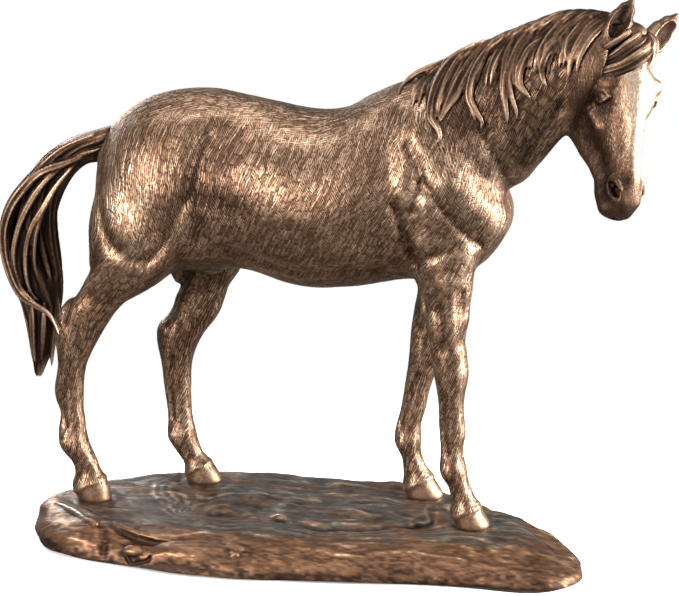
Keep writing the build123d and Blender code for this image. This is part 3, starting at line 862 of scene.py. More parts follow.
FORELOCK_LOCKS = [  # on the head's own axes, with the radius first
    (1.9, (-0.05, 0.02, 0.04), (0.03, 0.08, 0), (0.1, 0.06, -0.07), (0.165, -0.03, -0.13),
     (0.21, -0.15, -0.2), (0.225, -0.2, -0.205), (0.235, -0.29, -0.22)),
    (1.7, (-0.06, 0.01, 0), (0, 0.07, -0.03), (0.07, 0.05, -0.1), (0.13, -0.03, -0.15),
     (0.185, -0.14, -0.205), (0.21, -0.22, -0.22), (0.225, -0.3, -0.225)),
    (1.9, (-0.04, 0.03, 0.07), (0.05, 0.095, 0.03), (0.125, 0.08, -0.04), (0.19, 0.01, -0.115),
     (0.225, -0.11, -0.195), (0.24, -0.2, -0.21), (0.26, -0.3, -0.215)),
    (1.5, (-0.06, -0.01, -0.04), (-0.02, 0.04, -0.07), (0.04, 0.02, -0.13), (0.1, -0.06, -0.2),
     (0.16, -0.16, -0.215), (0.19, -0.25, -0.225), (0.2, -0.32, -0.225)),
    (1.3, (-0.03, 0.05, 0.05), (0.06, 0.1, 0.01), (0.125, 0.085, -0.06), (0.175, 0.02, -0.12),
     (0.205, -0.09, -0.2), (0.22, -0.16, -0.21)),
    (1.4, (-0.03, 0.04, 0.08), (0.07, 0.1, 0.05), (0.15, 0.085, -0.01), (0.215, 0.02, -0.09),
     (0.245, -0.08, -0.175)),
    (2.3, (-0.04, 0.04, 0.05), (0.03, 0.09, 0.055), (0.1, 0.1, 0.05), (0.16, 0.1, 0.035),
     (0.205, 0.09, 0.005)),
    (1.8, (-0.04, 0.04, 0.03), (0.02, 0.09, 0.045), (0.085, 0.105, 0.035), (0.14, 0.1, 0.02)),
]
TAIL_OUTER = [
    (-84, 190), (-95, 187), (-108, 181.5), (-120, 174.5), (-131, 162), (-139, 149), (-143.5, 133),
    (-143, 118), (-137, 104), (-134, 88), (-132.5, 67),
]
TAIL_INNER = [
    (-86, 176), (-96, 171), (-104, 170), (-110, 164), (-115, 155), (-117, 145), (-116.5, 132), (-115, 121),
    (-115, 110), (-118.5, 95), (-125.5, 71),
]
TAIL_HALF_WIDTH = [4, 5, 6, 7, 8, 9.5, 10.5, 10.5, 8.5, 6, 3]
TAIL_SIDE = -5.0
TAIL_STRANDS = 22
TAIL_LOCKS = [  # loose locks as (x, y, z), with the radius first
    (2.5, (-97, -9, 184), (-112, -11, 177), (-124.5, -13, 165), (-134.6, -14, 153), (-139.6, -14, 141),
     (-140, -14, 129),
     (-137, -15, 118), (-132, -16, 109.3), (-124.6, -19, 106.3), (-116.5, -23, 103.6), (-112.3, -26, 99.5),
     (-109.5, -28, 94.6), (-106.5, -29.5, 93)),
    (1.5, (-138, -14, 136), (-138, -14, 126), (-134, -15, 115), (-127, -17.5, 108.5), (-120, -21, 105.2)),
    (1.7, (-128, -13, 106), (-128.5, -12, 92), (-129.5, -9, 75)),
    (1.5, (-122, -13, 106), (-123.5, -12, 92), (-126, -9, 77)),
    (1.6, (-107, -11, 173), (-119, -14, 163), (-127.5, -15, 151), (-133, -15, 139), (-135.5, -15, 126),
     (-132.5, -15, 114), (-124, -15, 105)),
    (1.5, (-105, -10, 171.5), (-114, -13, 161), (-120, -15, 151), (-126.5, -15.5, 140),
     (-129.5, -15.5, 126), (-128, -15, 112), (-121, -13, 104)),
    (1.3, (-116, -14, 158), (-121, -15, 148), (-124.5, -15.5, 136), (-125, -15, 122), (-121, -13, 110)),
    (1.8, (-100, -9, 175), (-110, -12, 171), (-121, -14, 166.5), (-131, -14, 157), (-137, -13, 147),
     (-141, -10, 136)),
    (1.8, (-134, -8, 111), (-131.5, -7, 97), (-130.5, -6, 83), (-130, -5, 66)),
    (1.6, (-129, -10, 107), (-127, -9, 88), (-128, -7, 67)),
    (1.5, (-122, -10, 105), (-123.5, -9, 86), (-127, -7, 68)),
    (2.1, (-119, -8, 116), (-118.6, -8, 100), (-120.5, -8, 85), (-121.5, -8, 73)),
]


def smooth_path(points, gap=0.7):
    """A smooth path through points, with about this gap between its places."""
    points = np.asarray(points, float)
    ends = np.vstack([2 * points[0] - points[1], points, 2 * points[-1] - points[-2]])
    made = []
    for a, b, c, d in zip(ends, ends[1:], ends[2:], ends[3:]):
        steps = max(2, int(np.linalg.norm(c - b) / gap))
        t = np.arange(steps)[:, None] / steps
        bend, twist = 2 * a - 5 * b + 4 * c - d, 3 * b - a - 3 * c + d
        made.append(0.5 * (2 * b + (c - a) * t + bend * t**2 + twist * t**3))
    return np.vstack(made + [points[-1:]])


def skin_side(form, x, z, middle):
    """The y of the horse's right side at (x, z), or middle where there is no horse."""
    column = [int(round((value - form.low[i]) / form.cell)) for i, value in ((0, x), (2, z))]
    line = form.values[column[0], :, column[1]]
    inside = np.flatnonzero(line < 0)
    if not len(inside) or inside[0] == 0:
        return middle
    first = inside[0]
    share = line[first - 1] / (line[first - 1] - line[first])
    return min(middle, form.low[1] + form.cell * (first - 1 + share))


class Locks:
    """Many tapered, ridged locks gathered into one closed surface."""

    def __init__(self):
        self.points, self.triangles, self.count = [], [], 0

    def add(self, path, radius, outward, ridges=5, flat=0.62):
        """One lock, thin at its root and pointed at its tip. outward is the normal of its flat side."""
        path = smooth_path(path)
        count, around = len(path), 28
        t = np.linspace(0, 1, count)
        along = np.gradient(path, axis=0)
        along /= np.linalg.norm(along, axis=1)[:, None]
        outward = np.broadcast_to(np.asarray(outward, float), path.shape)
        across = np.cross(along, outward)
        across /= np.maximum(np.linalg.norm(across, axis=1), 1e-6)[:, None]
        upward = np.cross(across, along)
        rise = 0.3 + 0.7 * np.sin(np.clip(t / 0.35, 0, 1) * math.pi / 2)
        size = radius * rise * (1 - t**3.2) ** 0.7 + 0.12
        angle = np.linspace(0, 2 * math.pi, around, endpoint=False)
        phase = random.uniform(0, 6)
        ridge = 1 + 0.26 * np.cos(ridges * angle[None, :] + phase + 2.2 * t[:, None])
        wide = (size[:, None] * ridge * np.cos(angle)[None, :])[..., None] * across[:, None, :]
        thick = (size[:, None] * ridge * np.sin(angle)[None, :] * flat)[..., None] * upward[:, None, :]
        rings = path[:, None, :] + wide + thick
        self.points.append(np.vstack([rings.reshape(-1, 3), path[:1], path[-1:]]))
        ring, spot = np.meshgrid(np.arange(count - 1), np.arange(around), indexing="ij")
        here, after = ring * around + spot, ring * around + (spot + 1) % around
        sides = np.stack([here, after, here + around, after, after + around, here + around], -1)
        start, end = count * around, count * around + 1
        last = (count - 1) * around
        turn = np.arange(around)
        caps = np.vstack([
            np.stack([np.full(around, start), (turn + 1) % around, turn], 1),
            np.stack([np.full(around, end), last + turn, last + (turn + 1) % around], 1),
        ])
        self.triangles.append(np.vstack([sides.reshape(-1, 3), caps]) + self.count)
        self.count += count * around + 2

    def field(self, low, high, cell):
        """The locks as a distance field."""
        made = Field(low, high, cell)
        grid = openvdb.FloatGrid.createLevelSetFromPolygons(
            np.vstack(self.points) - made.low, triangles=np.vstack(self.triangles).astype(np.uint32),
            transform=openvdb.createLinearTransform(cell), halfWidth=6,
        )
        values = np.empty(made.count, np.float32)
        grid.copyToArray(values)
        made.values = values
        return made


def hair_casting(name, field, form):
    """A hair casting from its locks' field, cut away where the horse's own form is."""
    body = form.finer(field.low, field.low + field.cell * (field.count - 1), field.cell)
    body.values = body.values[tuple(slice(0, n) for n in field.count)]
    overlap = 0.35
    field.values = np.maximum(blur(field.values, 0.8), -(body.values + overlap))
    points, quads = field.surface()
    relief = field.like()
    relief.values = blur(np.minimum(field.values, body.values), 0.9 / field.cell)
    piece = save_mesh(name, points, quads)
    set_numbers(piece.data, "strand", np.clip(0.22 + sample(relief, points) / 0.5, 0, 1))
    # painted shade in the hollow in the middle of the tail, stored as the shade number
    hollow = np.exp(-((points[:, 0] + 120) / 8) ** 2 - ((points[:, 2] - 122) / 17) ** 2)
    set_numbers(piece.data, "shade", hollow)
    set_numbers(piece.data, "relief", np.clip(0.3 + sample(relief, points) / 1.1, 0, 1))
    settle_in(piece, name)
    return piece


def neck_middle(x):
    """The y of the neck's middle at x: the head is carried a little to the right."""
    return -9.5 * min(1, max(0, (x - 50) / 76)) ** 1.3


def build_mane(form):
    """Rows of crest locks that part at the crest and sweep back and down, under long loose ones."""
    locks = Locks()
    crest_x, crest_z = np.array(CREST).T
    for number in range(CREST_LOCKS):
        share = (number + 0.5) / CREST_LOCKS
        x = 57 + 79 * share + random.uniform(-0.8, 0.8)
        z = float(np.interp(x, crest_x, crest_z))
        middle = neck_middle(x)
        drop = random.uniform(0.8, 1.15) * (0.5 + 0.5 * min(1, share * 5))
        sweep = ((7, 4), (12.5, 10), (16, 17.5), (17, 25))
        side_view = [(x - back * drop, z - down * drop) for back, down in sweep]
        path = [
            (x + 3, middle + 4.5, z - 5), (x + 1.5, middle + 2, z - 1.6), (x - 1.5, middle - 1.5, z - 1.2),
        ]
        for step, (px, pz) in enumerate(side_view):
            path.append((px, skin_side(form, px, pz, neck_middle(px) - 3) - 1.7 + 0.3 * step, pz))
        locks.add(path, random.uniform(1.2, 1.8), (0, -0.8, 0.6), random.choice((5, 6, 7)))
    for radius, *side_view in MANE_LOCKS:
        path = []
        for step, (x, z) in enumerate(side_view):
            lift = 1.5 - 0.5 * step / (len(side_view) - 1)
            path.append((x, skin_side(form, x, z, neck_middle(x) - 3) - lift, z))
        locks.add(path, radius, (0, -1, 0.25), 6)
    low, high = np.array([36.0, -36, 180]), np.array([147.0, 12, 250])
    field = locks.field(low, high, 0.35)
    fill = [(x, neck_middle(x) - 0.5, z - 3.4) for x, z in CREST]
    field.rod(fill, [1.5, 2.5, 3, 3, 3, 3, 3.2, 3.2, 3.2, 3, 2.5], soft=0.8)
    return hair_casting("mane", field, form)


def build_forelock(form):
    """Locks from between the ears, across the forehead to the right, and a short one to the left."""
    locks = Locks()
    for radius, *places in FORELOCK_LOCKS:
        locks.add([on_head(*place) for place in places], radius, FORWARD, 7)
    low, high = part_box("forelock")
    field = locks.field(np.array(low) / MM - 9, np.array(high) / MM + 9, 0.3)
    return hair_casting("forelock", field, form)


def build_tail(form):
    """A rope of twisting strands round a core, with loose locks that cross the hock and hang below."""
    locks = Locks()
    outer, inner = smooth_path(TAIL_OUTER, 0.9), smooth_path(TAIL_INNER, 0.9)
    count = 60
    t = np.linspace(0, 1, count)
    outer = np.stack([np.interp(t, np.linspace(0, 1, len(outer)), outer[:, i]) for i in (0, 1)], 1)
    inner = np.stack([np.interp(t, np.linspace(0, 1, len(inner)), inner[:, i]) for i in (0, 1)], 1)
    half_width = np.interp(t, np.linspace(0, 1, len(TAIL_HALF_WIDTH)), TAIL_HALF_WIDTH)
    middle, reach = (outer + inner) / 2, (outer - inner) / 2
    for number in range(TAIL_STRANDS):
        angle = 2 * math.pi * number / TAIL_STRANDS + 1.9 * t + 0.25 * np.sin(5 * t + number)
        shrink = 0.8 + 0.08 * math.sin(2.4 * number)
        side = TAIL_SIDE - half_width * np.sin(angle) * shrink
        flat = middle + reach * (np.cos(angle) * shrink)[:, None]
        last = count if number % 3 == 0 else random.randint(40, 56)
        path = np.stack([flat[:last, 0], side[:last], flat[:last, 1]], 1)[::4]
        spread = np.stack([flat[:, 0] - middle[:, 0], side - TAIL_SIDE, flat[:, 1] - middle[:, 1]], 1)[20]
        locks.add(path, random.uniform(1.9, 2.6), unit(spread), random.choice((6, 7, 9)))
    for radius, *places in TAIL_LOCKS:
        locks.add(places, radius, (-0.3, -1, 0), 5)
    field = locks.field(np.array([-150.0, -34, 60]), np.array([-86.0, 10, 194]), 0.4)
    field.rod([(-124, -5, 112), (-125, -5, 98), (-126, -5, 84), (-128.5, -5, 71)], [7.5, 6.5, 5, 2], soft=1.5)
    core = [(middle[k][0], TAIL_SIDE, middle[k][1]) for k in range(0, 50, 5)]
    field.rod(core, [0.74 * min(half_width[k], np.linalg.norm(reach[k])) for k in range(0, 50, 5)], soft=1)
    return hair_casting("tail", field, form)


# ================================ Plinth ================================
PLINTH_CELL = 0.55
SLAB = [  # raised sheet of rock on the top, as (x, y); its near edge is a lip
    (-54, -23), (-35, -23), (-22, -27), (-15, -28), (-5, -30), (3, -33), (17, -35), (29, -28), (46, -23),
    (58, -12), (54, 0),
    (55, 13), (60, 23), (45, 44), (-30, 46), (-64, 40), (-66, 17), (-57, 3), (-52, -8),
]
SWIRL = [(-63, -14), (-70, -5), (-72, 4), (-68, 11), (-61, 13)]
TERRACES = [  # lower ground beyond these lines, near the right front hoof
    [(63, 25), (66, 6), (76, -1), (91, -5), (106, -15), (122, -33), (150, -33), (150, 60), (63, 60)],
    [(76, 26), (80, 11), (92, 5), (104, -2), (116, -16), (150, -16), (150, 60), (76, 60)],
]
OVALS = [
    (-27, -8, 13, 4.5), (4, -13, 15, 5), (30, -12, 9, 3.5), (-92, -36, 10, 3.5), (-30, 8, 16, 5),
    (18, 6, 14, 4),
]


def inside_distance(x, y, outline):
    """Distance to a closed outline, positive inside it."""
    best, inside = None, None
    for (ax, ay), (bx, by) in zip(outline, outline[1:] + outline[:1]):
        run_x, run_y = bx - ax, by - ay
        along = np.clip(((x - ax) * run_x + (y - ay) * run_y) / max(run_x**2 + run_y**2, 1e-9), 0, 1)
        gap = np.hypot(x - ax - along * run_x, y - ay - along * run_y)
        best = gap if best is None else np.minimum(best, gap)
        if ay != by:
            crossed = ((ay > y) != (by > y)) & (x < ax + (y - ay) / (by - ay) * run_x)
            inside = crossed if inside is None else inside ^ crossed
    return np.where(inside, best, -best)


def ground_height(x, y, hooves):
    """Height of the rock's relief over the flat ground, and how far a place is inside the slab."""
    bend_x, bend_y = x + 3 * wander(x / 17, y / 17, 41), y + 3 * wander(x / 17, y / 17, 42)
    slab = inside_distance(bend_x, bend_y, SLAB)
    broken = smooth_step(x, -47, -40) * (1 - smooth_step(x, -25, -19)) + smooth_step(x, -14, -7)
    broken = np.maximum(broken, smooth_step(y, 5, 15))
    broken = broken * np.clip(0.8 + 0.6 * wander(x / 9, y / 9, 46), 0.2, 1.3)
    height = 1.9 * broken * smooth_step(slab, -0.5, 1.0) * (0.4 + 0.6 * np.exp(-np.maximum(slab, 0) / 9))
    height -= 0.9 * broken * np.exp(-(((slab + 1.8) / 1.5) ** 2))
    for outline in TERRACES:
        height -= 1.1 * smooth_step(inside_distance(bend_x, bend_y, outline), -0.6, 1.6)
    height -= 2.5 * smooth_step(x, 92, 128)
    flat = [np.asarray(p, float) for p in SWIRL]
    curl = np.full(x.shape, FAR)
    for start, end in zip(flat, flat[1:]):
        run = end - start
        along = np.clip(((x - start[0]) * run[0] + (y - start[1]) * run[1]) / (run @ run), 0, 1)
        curl = np.minimum(curl, np.hypot(x - start[0] - along * run[0], y - start[1] - along * run[1]))
    height += 0.6 * np.exp(-((curl / 1.3) ** 2)) + 0.5 * np.exp(-(((curl - 3.5) / 1.2) ** 2))
    for middle_x, middle_y, half_x, half_y in OVALS:
        ring = np.hypot((bend_x - middle_x) / half_x, (bend_y - middle_y) / half_y) - 1
        height += 0.8 * np.exp(-((ring * half_y / 1.6) ** 2)) + 0.3 * smooth_step(-ring, 0, 0.5)
    for rise, long_x, long_y, seed in ((0.9, 31, 22, 43), (0.7, 15, 8, 44), (0.35, 8, 3.5, 45)):
        height += rise * wander(x / long_x, y / long_y, seed)
    for hoof_x, hoof_y in hooves:
        reach = np.hypot(x - hoof_x, y - hoof_y)
        near = smooth_step(reach, 9, 19)
        height = height * near + (0.5 * np.exp(-((reach - 9) / 2.5) ** 2) - 0.1) * (1 - near)
    return height, slab


def hoof_places():
    """The middle of each hoof, as (x, y)."""
    places = []
    for leg in LEGS:
        points = np.array([v.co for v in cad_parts[leg].data.vertices]) / MM
        low = points[points[:, 2] < GROUND + 2]
        places.append((low[:, :2].min(0) + low[:, :2].max(0)) / 2)
    return places


def plinth_outline():
    """The plinth's outline in plan, from its widest points."""
    points = np.array([v.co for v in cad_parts["plinth"].data.vertices])[:, :2] / MM
    middle = (points.min(0) + points.max(0)) / 2
    angle = np.arctan2(*((points - middle) / (points.max(0) - middle)).T[::-1])
    reach = np.hypot(*(points - middle).T)
    made = []
    for turn in np.arange(72) * math.pi / 36:
        near = np.abs((angle - turn + math.pi) % (2 * math.pi) - math.pi) < math.pi / 36
        widest = np.flatnonzero(near)[reach[near].argmax()]
        made.append(tuple(points[widest]))
    return made


def plinth_shoulder(x, y):
    """Height of the rounded shoulder, from 0 at the outline to 1 on the flat, and the distance outside."""
    edge = inside_distance(x, y, plinth_outline())
    near = smooth_step(-y, 8, 45) * (0.35 + 0.65 * smooth_step(x, -95, -55))
    wide = 9 + 24 * near + 18 * smooth_step(x, 85, 122)
    share = np.clip(edge / wide, 0, 1)
    return np.sqrt(1 - (1 - share) ** 2.7), -edge


CREVICE = (  # lift over the rock, softness, whether it cuts, radii, and the line in plan
    (1.2, 2, True, (0.9, 1.7, 2.0, 1.6), ((-88, -46), (-84, -52), (-82, -57), (-81, -61))),
    (-0.2, 1.5, False, (0.8, 1.4, 1.6, 1.0), ((-114, -27), (-104, -36), (-95, -44), (-88, -49))),
    (0.6, 1, True, (0.5, 1.0, 1.2, 0.5), ((-108, -24), (-98, -32), (-90, -39), (-84, -43))),
    (0.1, 1.2, False, (1.3, 1.9, 1.9, 1.5, 0.6),
     ((-80, -47), (-71, -52), (-61, -55), (-49, -54), (-35, -47))),
    (0.4, 0.8, True, (1.2, 2.1, 1.9, 1.1, 0.5),
     ((-77, -52), (-67, -56.5), (-57, -58.5), (-46, -57), (-38, -52))),
)
LUMPS = 10


def add_crevice(field, level):
    """The split layers at the left: ridge, crevice, lip with a hollow under it, stone and lumps."""
    def on_rock(places, lift):
        return [(at_x, at_y, level(at_x, at_y) + lift) for at_x, at_y in places]
    for lift, soft, cut, radii, places in CREVICE:
        field.rod(on_rock(places, lift), radii, soft=soft, cut=cut)
    field.ball(on_rock([(-66, -61)], 0.3)[0], (5.4, 3.2, 2.4), soft=0.6)
    stone_foot = on_rock([(-73, -60), (-67, -64), (-59, -64.5), (-55, -61)], 0.8)
    field.rod(stone_foot, (0.6, 0.9, 0.9, 0.5), soft=0.7, cut=True)
    field.ball(on_rock([(-40, -60)], -2.0)[0], (16, 6, 4.5), soft=3)
    for _ in range(LUMPS):
        place = on_rock([(random.uniform(-40, -20), random.uniform(-62, -56))], -0.2)[0]
        field.ball(place, (random.uniform(2, 4.5), 1.6, random.uniform(0.9, 1.5)), soft=1.2)


def plinth_field(low, high, bottom):
    """The plinth as a field: relief on top, a rounded shoulder and uneven sides."""
    field = Field(low, high, PLINTH_CELL)
    x, y, z = field.places()
    x2, y2 = np.broadcast_arrays(x[:, :, 0], y[:, :, 0])
    relief, _ = ground_height(x2, y2, hoof_places())
    shoulder, outside = plinth_shoulder(x2, y2)
    level = bottom + (GROUND - bottom) * shoulder + relief * smooth_step(shoulder, 0.5, 0.95)
    slope_x, slope_y = np.gradient(level, PLINTH_CELL)
    steep = np.sqrt(1 + slope_x**2 + slope_y**2)
    field.values = np.clip((z - level[:, :, None]) / steep[:, :, None], -FAR, FAR)
    field.values = np.maximum(field.values, outside[:, :, None]).astype(np.float32)
    field.values = np.maximum(field.values, bottom - 2 - z)
    field.values = blur(field.values, 1.5).astype(np.float32)
    side = 1.0 * wander(x2 / 27, y2 / 27, 51)[:, :, None] + 0.6 * wander(x / 14, z / 6 + y / 12, 52)
    side = side + 0.2 * wander(x / 5, z / 4 + y / 6, 53)
    flank = 1 - smooth_step(shoulder, 0.75, 1.0)
    field.values -= ((side + 0.1) * flank[:, :, None]).astype(np.float32)
    add_crevice(field, lambda at_x, at_y: level[
        int(round((at_x - field.low[0]) / PLINTH_CELL)), int(round((at_y - field.low[1]) / PLINTH_CELL))])
    return field


def flow_lines(x, y, flat):
    """Height from 0 to 1 of the lines that water left on the rock: along it, and round the raised sheet."""
    _, slab = ground_height(x, y, hoof_places())
    follow = np.exp(-np.abs(slab) / 7)
    across = (y + 5 * wander(x / 24, y / 15, 61)) * (1 - follow) + slab * follow
    turn = 2 * math.pi
    lines = 0.5 + 0.5 * np.sin(turn * (across / 7.5 + 0.5 * wander(x / 16, y / 5, 62)))
    fine = 0.5 + 0.5 * np.sin(turn * (across / 3.4 + 0.6 * wander(x / 8, y / 3, 66)))
    lines = (0.65 * lines**2 + 0.35 * fine) * (0.6 + 0.4 * wander(x / 12, y / 6, 63))
    return lines * smooth_step(flat, 0.8, 0.98)


def build_plinth():
    """A slab of water-worn rock: a raised sheet with a broken lip, terraces, a crevice and a stone."""
    low, high = reach_of("plinth", 7)
    bottom = low[2] + 7
    low[2] = bottom - 3
    field = plinth_field(low, high, bottom)
    points, quads = field.surface()
    relief = Field(low, high, PLINTH_CELL)
    relief.values = blur(field.values, 1.5 / PLINTH_CELL)
    normals = normals_of(points, quads)
    x, y, z = points.T
    lines = flow_lines(x, y, normals[:, 2])
    grain = wander(x / 2.2, y / 1.2 + z / 1.2, 64)
    points = points + normals * (0.32 * lines + 0.1 * grain)[:, None]
    x, y, z = points.T
    shoulder, _ = plinth_shoulder(x, y)
    ragged = 0.06 * wander(x / 9, y / 5, 65)
    on_top = smooth_step(shoulder + ragged, 0.93, 1.03) * smooth_step(normals[:, 2], 0.3, 0.7)
    piece = save_mesh("plinth", points, quads)
    set_numbers(piece.data, "strand", np.clip(0.75 * lines + 0.12 + 0.2 * grain, 0, 1))
    set_numbers(piece.data, "relief", np.clip(0.5 + sample(relief, points) / 0.9, 0, 1))
    set_numbers(piece.data, "shade", 1 - smooth_step(z, 1.5, 9))
    set_numbers(piece.data, "flat", on_top)
    trim(piece, [((0, 0, bottom), (0, 0, -1), None)])
    settle_in(piece, "plinth")
    return piece


# ================================ Materials ================================
class Nodes:
    """Short ways to build a node material."""

    def __init__(self, name, metallic):
        self.material = bpy.data.materials.new(name)
        self.material.use_nodes = True
        self.tree = self.material.node_tree
        self.shader = self.tree.nodes["Principled BSDF"]
        self.shader.inputs["Metallic"].default_value = metallic

    def add(self, kind, links=None, **settings):
        """A node with settings, and its inputs linked or set."""
        node = self.tree.nodes.new("ShaderNode" + kind)
        for key, value in settings.items():
            setattr(node, key, value)
        for key, value in (links or {}).items():
            if hasattr(value, "links"):
                self.tree.links.new(value, node.inputs[key])
            else:
                node.inputs[key].default_value = value
        return node

    def number(self, name):
        """A number stored on the mesh."""
        return self.add("Attribute", attribute_name=name).outputs["Fac"]

    def noise(self, scale, detail=3.0, stretch=(1, 1, 1), turn=(0, 0, 0)):
        """Noise over the object's own space; scale is in repeats per metre."""
        place = self.add("TexCoord").outputs["Object"]
        place = self.add("Mapping", {"Vector": place, "Scale": stretch, "Rotation": turn}).outputs[0]
        return self.add("TexNoise", {"Vector": place, "Scale": scale, "Detail": detail}).outputs["Fac"]

    def ramp(self, value, *stops):
        """A colour or grey ramp."""
        node = self.add("ValToRGB", {"Fac": value})
        ends = node.color_ramp.elements
        while len(ends) < len(stops):
            ends.new(0.5)
        for end, (place, colour) in zip(ends, stops):
            end.position = place
            end.color = (*colour, 1) if isinstance(colour, tuple) else (colour, colour, colour, 1)
        return node.outputs["Color"]

    def math(self, kind, first, second=0.0, clamp=False):
        """A sum, product and so on."""
        return self.add("Math", {0: first, 1: second}, operation=kind, use_clamp=clamp).outputs[0]

    def plus(self, first, second, clamp=False):
        """A sum."""
        return self.math("ADD", first, second, clamp)

    def minus(self, first, second, clamp=False):
        """A difference."""
        return self.math("SUBTRACT", first, second, clamp)

    def times(self, first, second):
        """A product."""
        return self.math("MULTIPLY", first, second)

    def mix(self, share, first, second, blend="MIX"):
        """A blend of two colours."""
        node = self.add("Mix", data_type="RGBA", blend_type=blend)
        for socket, value in ((node.inputs[0], share), (node.inputs[6], first), (node.inputs[7], second)):
            if hasattr(value, "links"):
                self.tree.links.new(value, socket)
            else:
                socket.default_value = (*value, 1) if isinstance(value, tuple) else value
        return node.outputs[2]

    def finish(self, colour, roughness, height=None, deep=0.0):
        """Links the look to the shader."""
        self.tree.links.new(colour, self.shader.inputs["Base Color"])
        if hasattr(roughness, "links"):
            self.tree.links.new(roughness, self.shader.inputs["Roughness"])
        else:
            self.shader.inputs["Roughness"].default_value = roughness
        if height is not None:
            bump = self.add("Bump", {"Height": height, "Distance": deep * MM, "Strength": 1.0})
            self.tree.links.new(bump.outputs[0], self.shader.inputs["Normal"])
        return self.material


def bronze_wear(n, strand_share, relief_share, speckle=0.3):
    """How far the brown patination is rubbed off, from 0 in the recesses to 1 on the high places."""
    wear = n.plus(n.times(n.number("strand"), strand_share), n.times(n.number("relief"), relief_share))
    wear = n.plus(wear, n.times(n.minus(n.noise(38, 4), 0.5), 0.2))
    return n.plus(wear, n.times(n.minus(n.noise(900, 2), 0.5), speckle), True)


BRONZE = (  # colours of the castings, from the recesses to the rubbed places
    (0.12, (0.014, 0.007, 0.004)), (0.34, (0.08, 0.045, 0.027)),
    (0.56, (0.25, 0.17, 0.113)), (0.88, (0.62, 0.51, 0.40)),
)
ROCK_TOP = (
    (0.15, (0.03, 0.024, 0.019)), (0.46, (0.082, 0.069, 0.056)),
    (0.7, (0.17, 0.143, 0.113)), (0.95, (0.46, 0.38, 0.29)),
)
ROCK_SIDE = (
    (0.15, (0.020, 0.009, 0.005)), (0.5, (0.13, 0.065, 0.034)),
    (0.74, (0.25, 0.14, 0.078)), (1.0, (0.60, 0.42, 0.28)),
)


def cast_bronze(name, strand_share, relief_share, dark):
    """Brown patinated bronze, dark in its recesses and rubbed to a tan shine on its high places, with the
    painted shade and painted highlight of the shade number laid over its colour.
    """
    n = Nodes(name, 0.88)
    wear = n.minus(bronze_wear(n, strand_share, relief_share), dark)
    # painted shade and highlight: the shade number darkens the colour, or lightens it below 0
    wear = n.minus(wear, n.times(n.number("shade"), 0.16), True)
    colour = n.ramp(wear, *BRONZE)
    colour = n.mix(n.times(n.noise(22, 2), 0.45), colour, (0.88, 0.62, 0.48), "MULTIPLY")
    roughness = n.minus(0.55, n.times(wear, 0.22))
    return n.finish(colour, roughness, n.noise(1500, 3), 0.05)


def rock_bronze():
    """The plinth's bronze: grey-brown on top and a warm copper brown down the sides, with rubbed ridges."""
    n = Nodes("bronze_rock", 0.85)
    wear = n.minus(bronze_wear(n, 0.6, 0.5, 0.12), n.times(n.number("shade"), 0.3), True)
    top = n.ramp(wear, *ROCK_TOP)
    side = n.ramp(wear, *ROCK_SIDE)
    colour = n.mix(n.number("flat"), side, top)
    roughness = n.minus(0.55, n.times(wear, 0.2))
    return n.finish(colour, roughness, n.noise(1100, 3, (0.5, 1, 1)), 0.06)


def felt():
    """Dark brown wool felt with a matted grain, its own colour darkened to near black as painted shadow under
    the plinth.
    """
    n = Nodes("felt", 0.0)
    grain = n.noise(2600, 5)
    colour = n.ramp(grain, (0.3, (0.008, 0.006, 0.004)), (0.7, (0.035, 0.025, 0.016)))
    return n.finish(colour, 0.95, grain, 0.2)


def turned_steel(name, tone):
    """Zinc-plated or bright steel with fine turning marks."""
    n = Nodes(name, 1.0)
    marks = n.noise(3000, 2, (1, 1, 8))
    colour = n.ramp(marks, (0.3, (0.7 * tone, 0.7 * tone, 0.72 * tone)), (0.7, (tone, tone, tone)))
    return n.finish(colour, n.plus(0.25, n.times(marks, 0.15)), marks, 0.02)


def paint_nodes():
    """Gives the CAD nodes that stay as they are their materials."""
    finishes = {"felt_pad": felt()}
    steel, dowel_steel = turned_steel("zinc_plated_steel", 0.62), turned_steel("bright_steel", 0.75)
    for node in ("hoof_studs", "hoof_washers", "hoof_nuts"):
        finishes[node] = steel
    for node in ("leg_dowels", "neck_dowels", "head_dowels", "mane_pins", "forelock_pin"):
        finishes[node] = dowel_steel
    for node, finish in finishes.items():
        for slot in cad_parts[node].material_slots:
            slot.material = finish


# ================================ Stage ================================
def seen_and_cast(tree, seen, cast):
    """A value for the camera's own rays and another for every other ray."""
    path = tree.nodes.new("ShaderNodeLightPath")
    mix = tree.nodes.new("ShaderNodeMix")
    mix.data_type = "RGBA"
    tree.links.new(path.outputs["Is Camera Ray"], mix.inputs[0])
    mix.inputs[6].default_value, mix.inputs[7].default_value = (*cast, 1), (*seen, 1)
    return mix.outputs[2]


def sweep_material():
    """A pale floor that turns to pure white further off. The bronze sees it as a dim reflector."""
    n = Nodes("sweep", 0.0)
    n.shader.inputs["Roughness"].default_value = 1.0
    n.shader.inputs["Specular IOR Level"].default_value = 0.0
    n.tree.links.new(
        seen_and_cast(n.tree, (0.93, 0.93, 0.93), (0.2, 0.19, 0.18)), n.shader.inputs["Base Color"]
    )
    place = n.add("NewGeometry").outputs["Position"]
    far = n.add("VectorMath", {0: place}, operation="LENGTH").outputs["Value"]
    limits = {"Value": far, "From Min": 0.14, "From Max": 0.26}
    share = n.add("MapRange", limits, interpolation_type="SMOOTHSTEP").outputs[0]
    glow = n.add("Emission", {"Color": seen_and_cast(n.tree, (1, 1, 1), (0.08, 0.08, 0.08))}).outputs[0]
    mixed = n.add("MixShader", {0: share, 1: n.shader.outputs[0], 2: glow}).outputs[0]
    n.tree.links.new(mixed, n.tree.nodes["Material Output"].inputs["Surface"])
    return n.material


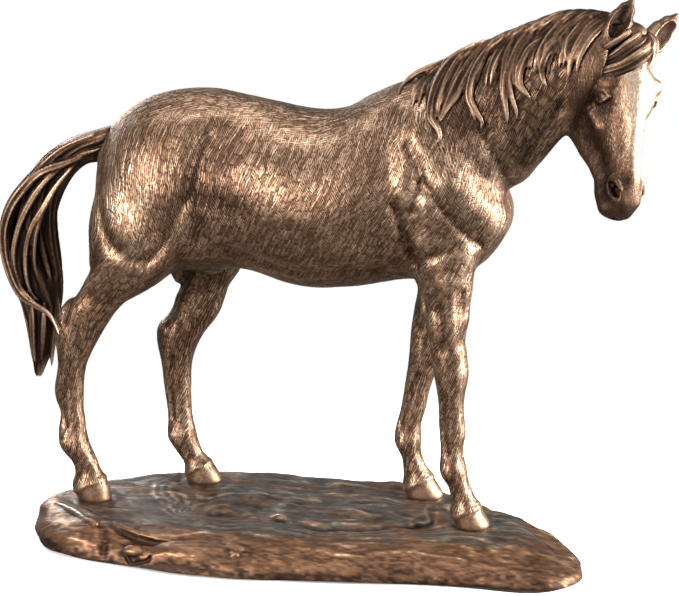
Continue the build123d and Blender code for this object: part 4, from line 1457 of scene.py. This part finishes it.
def softbox(name, place, target, size, power, colour=(1, 1, 1)):
    """A square soft light that faces the target."""
    light = bpy.data.lights.new(name, "AREA")
    light.size, light.energy, light.color = size, power, colour
    lamp = bpy.data.objects.new(name, light)
    lamp.location = place
    lamp.rotation_euler = (Vector(target) - Vector(place)).to_track_quat("-Z", "Y").to_euler()
    bpy.context.scene.collection.objects.link(lamp)


def build_stage():
    """Pale floor, soft studio light and the camera."""
    floor_mesh = bpy.data.meshes.new("floor")
    half = 4.0
    floor_mesh.from_pydata(
        [(-half, -half, 0), (half, -half, 0), (half, half, 0), (-half, half, 0)], [], [(0, 1, 2, 3)]
    )
    floor = bpy.data.objects.new("floor", floor_mesh)
    bpy.context.scene.collection.objects.link(floor)
    floor_mesh.materials.append(sweep_material())
    world = bpy.data.worlds.new("studio")
    bpy.context.scene.world = world
    world.use_nodes = True
    background = world.node_tree.nodes["Background"]
    world.node_tree.links.new(
        seen_and_cast(world.node_tree, (1, 1, 1), (0.30, 0.31, 0.33)), background.inputs["Color"]
    )
    middle = (0, 0, 0.12)
    softbox("key", (-0.55, -0.85, 0.42), middle, 0.4, 19, (1, 0.97, 0.94))
    softbox("low", (-0.25, -1.0, 0.04), middle, 0.35, 4, (1, 0.95, 0.9))
    softbox("right", (1.0, 0.02, 0.3), middle, 0.6, 60)
    softbox("front", (0.7, -0.75, 0.5), middle, 0.4, 3)
    softbox("top", (-0.1, -0.1, 1.0), middle, 0.6, 7)
    softbox("rim", (-0.7, 0.7, 0.5), middle, 0.4, 8)
    camera_data = bpy.data.cameras.new("camera")
    camera = bpy.data.objects.new("camera", camera_data)
    bpy.context.scene.collection.objects.link(camera)
    azimuth, elevation, distance = math.radians(12), math.radians(14), 0.9
    target = Vector((0.0136, 0, 0.112))
    back = Vector((
        math.sin(azimuth) * math.cos(elevation), -math.cos(azimuth) * math.cos(elevation), math.sin(elevation)
    ))
    camera.location = target + distance * back
    camera.rotation_euler = back.to_track_quat("Z", "Y").to_euler()
    camera_data.lens = 106
    camera_data.clip_start = 0.01
    bpy.context.scene.camera = camera
    bpy.context.scene.view_settings.view_transform = "Standard"


# ================================ Assembly ================================
chased = cast_bronze("bronze_chased", 0.52, 0.3, -0.01)
hair_bronze = cast_bronze("bronze_hair", 0.75, 0.2, 0.27)
form = horse_form()
for piece in horse_castings(form):
    piece.data.materials.append(chased)
for piece in (build_mane(form), build_forelock(form), build_tail(form)):
    piece.data.materials.append(hair_bronze)
build_plinth().data.materials.append(rock_bronze())
paint_nodes()
build_stage()
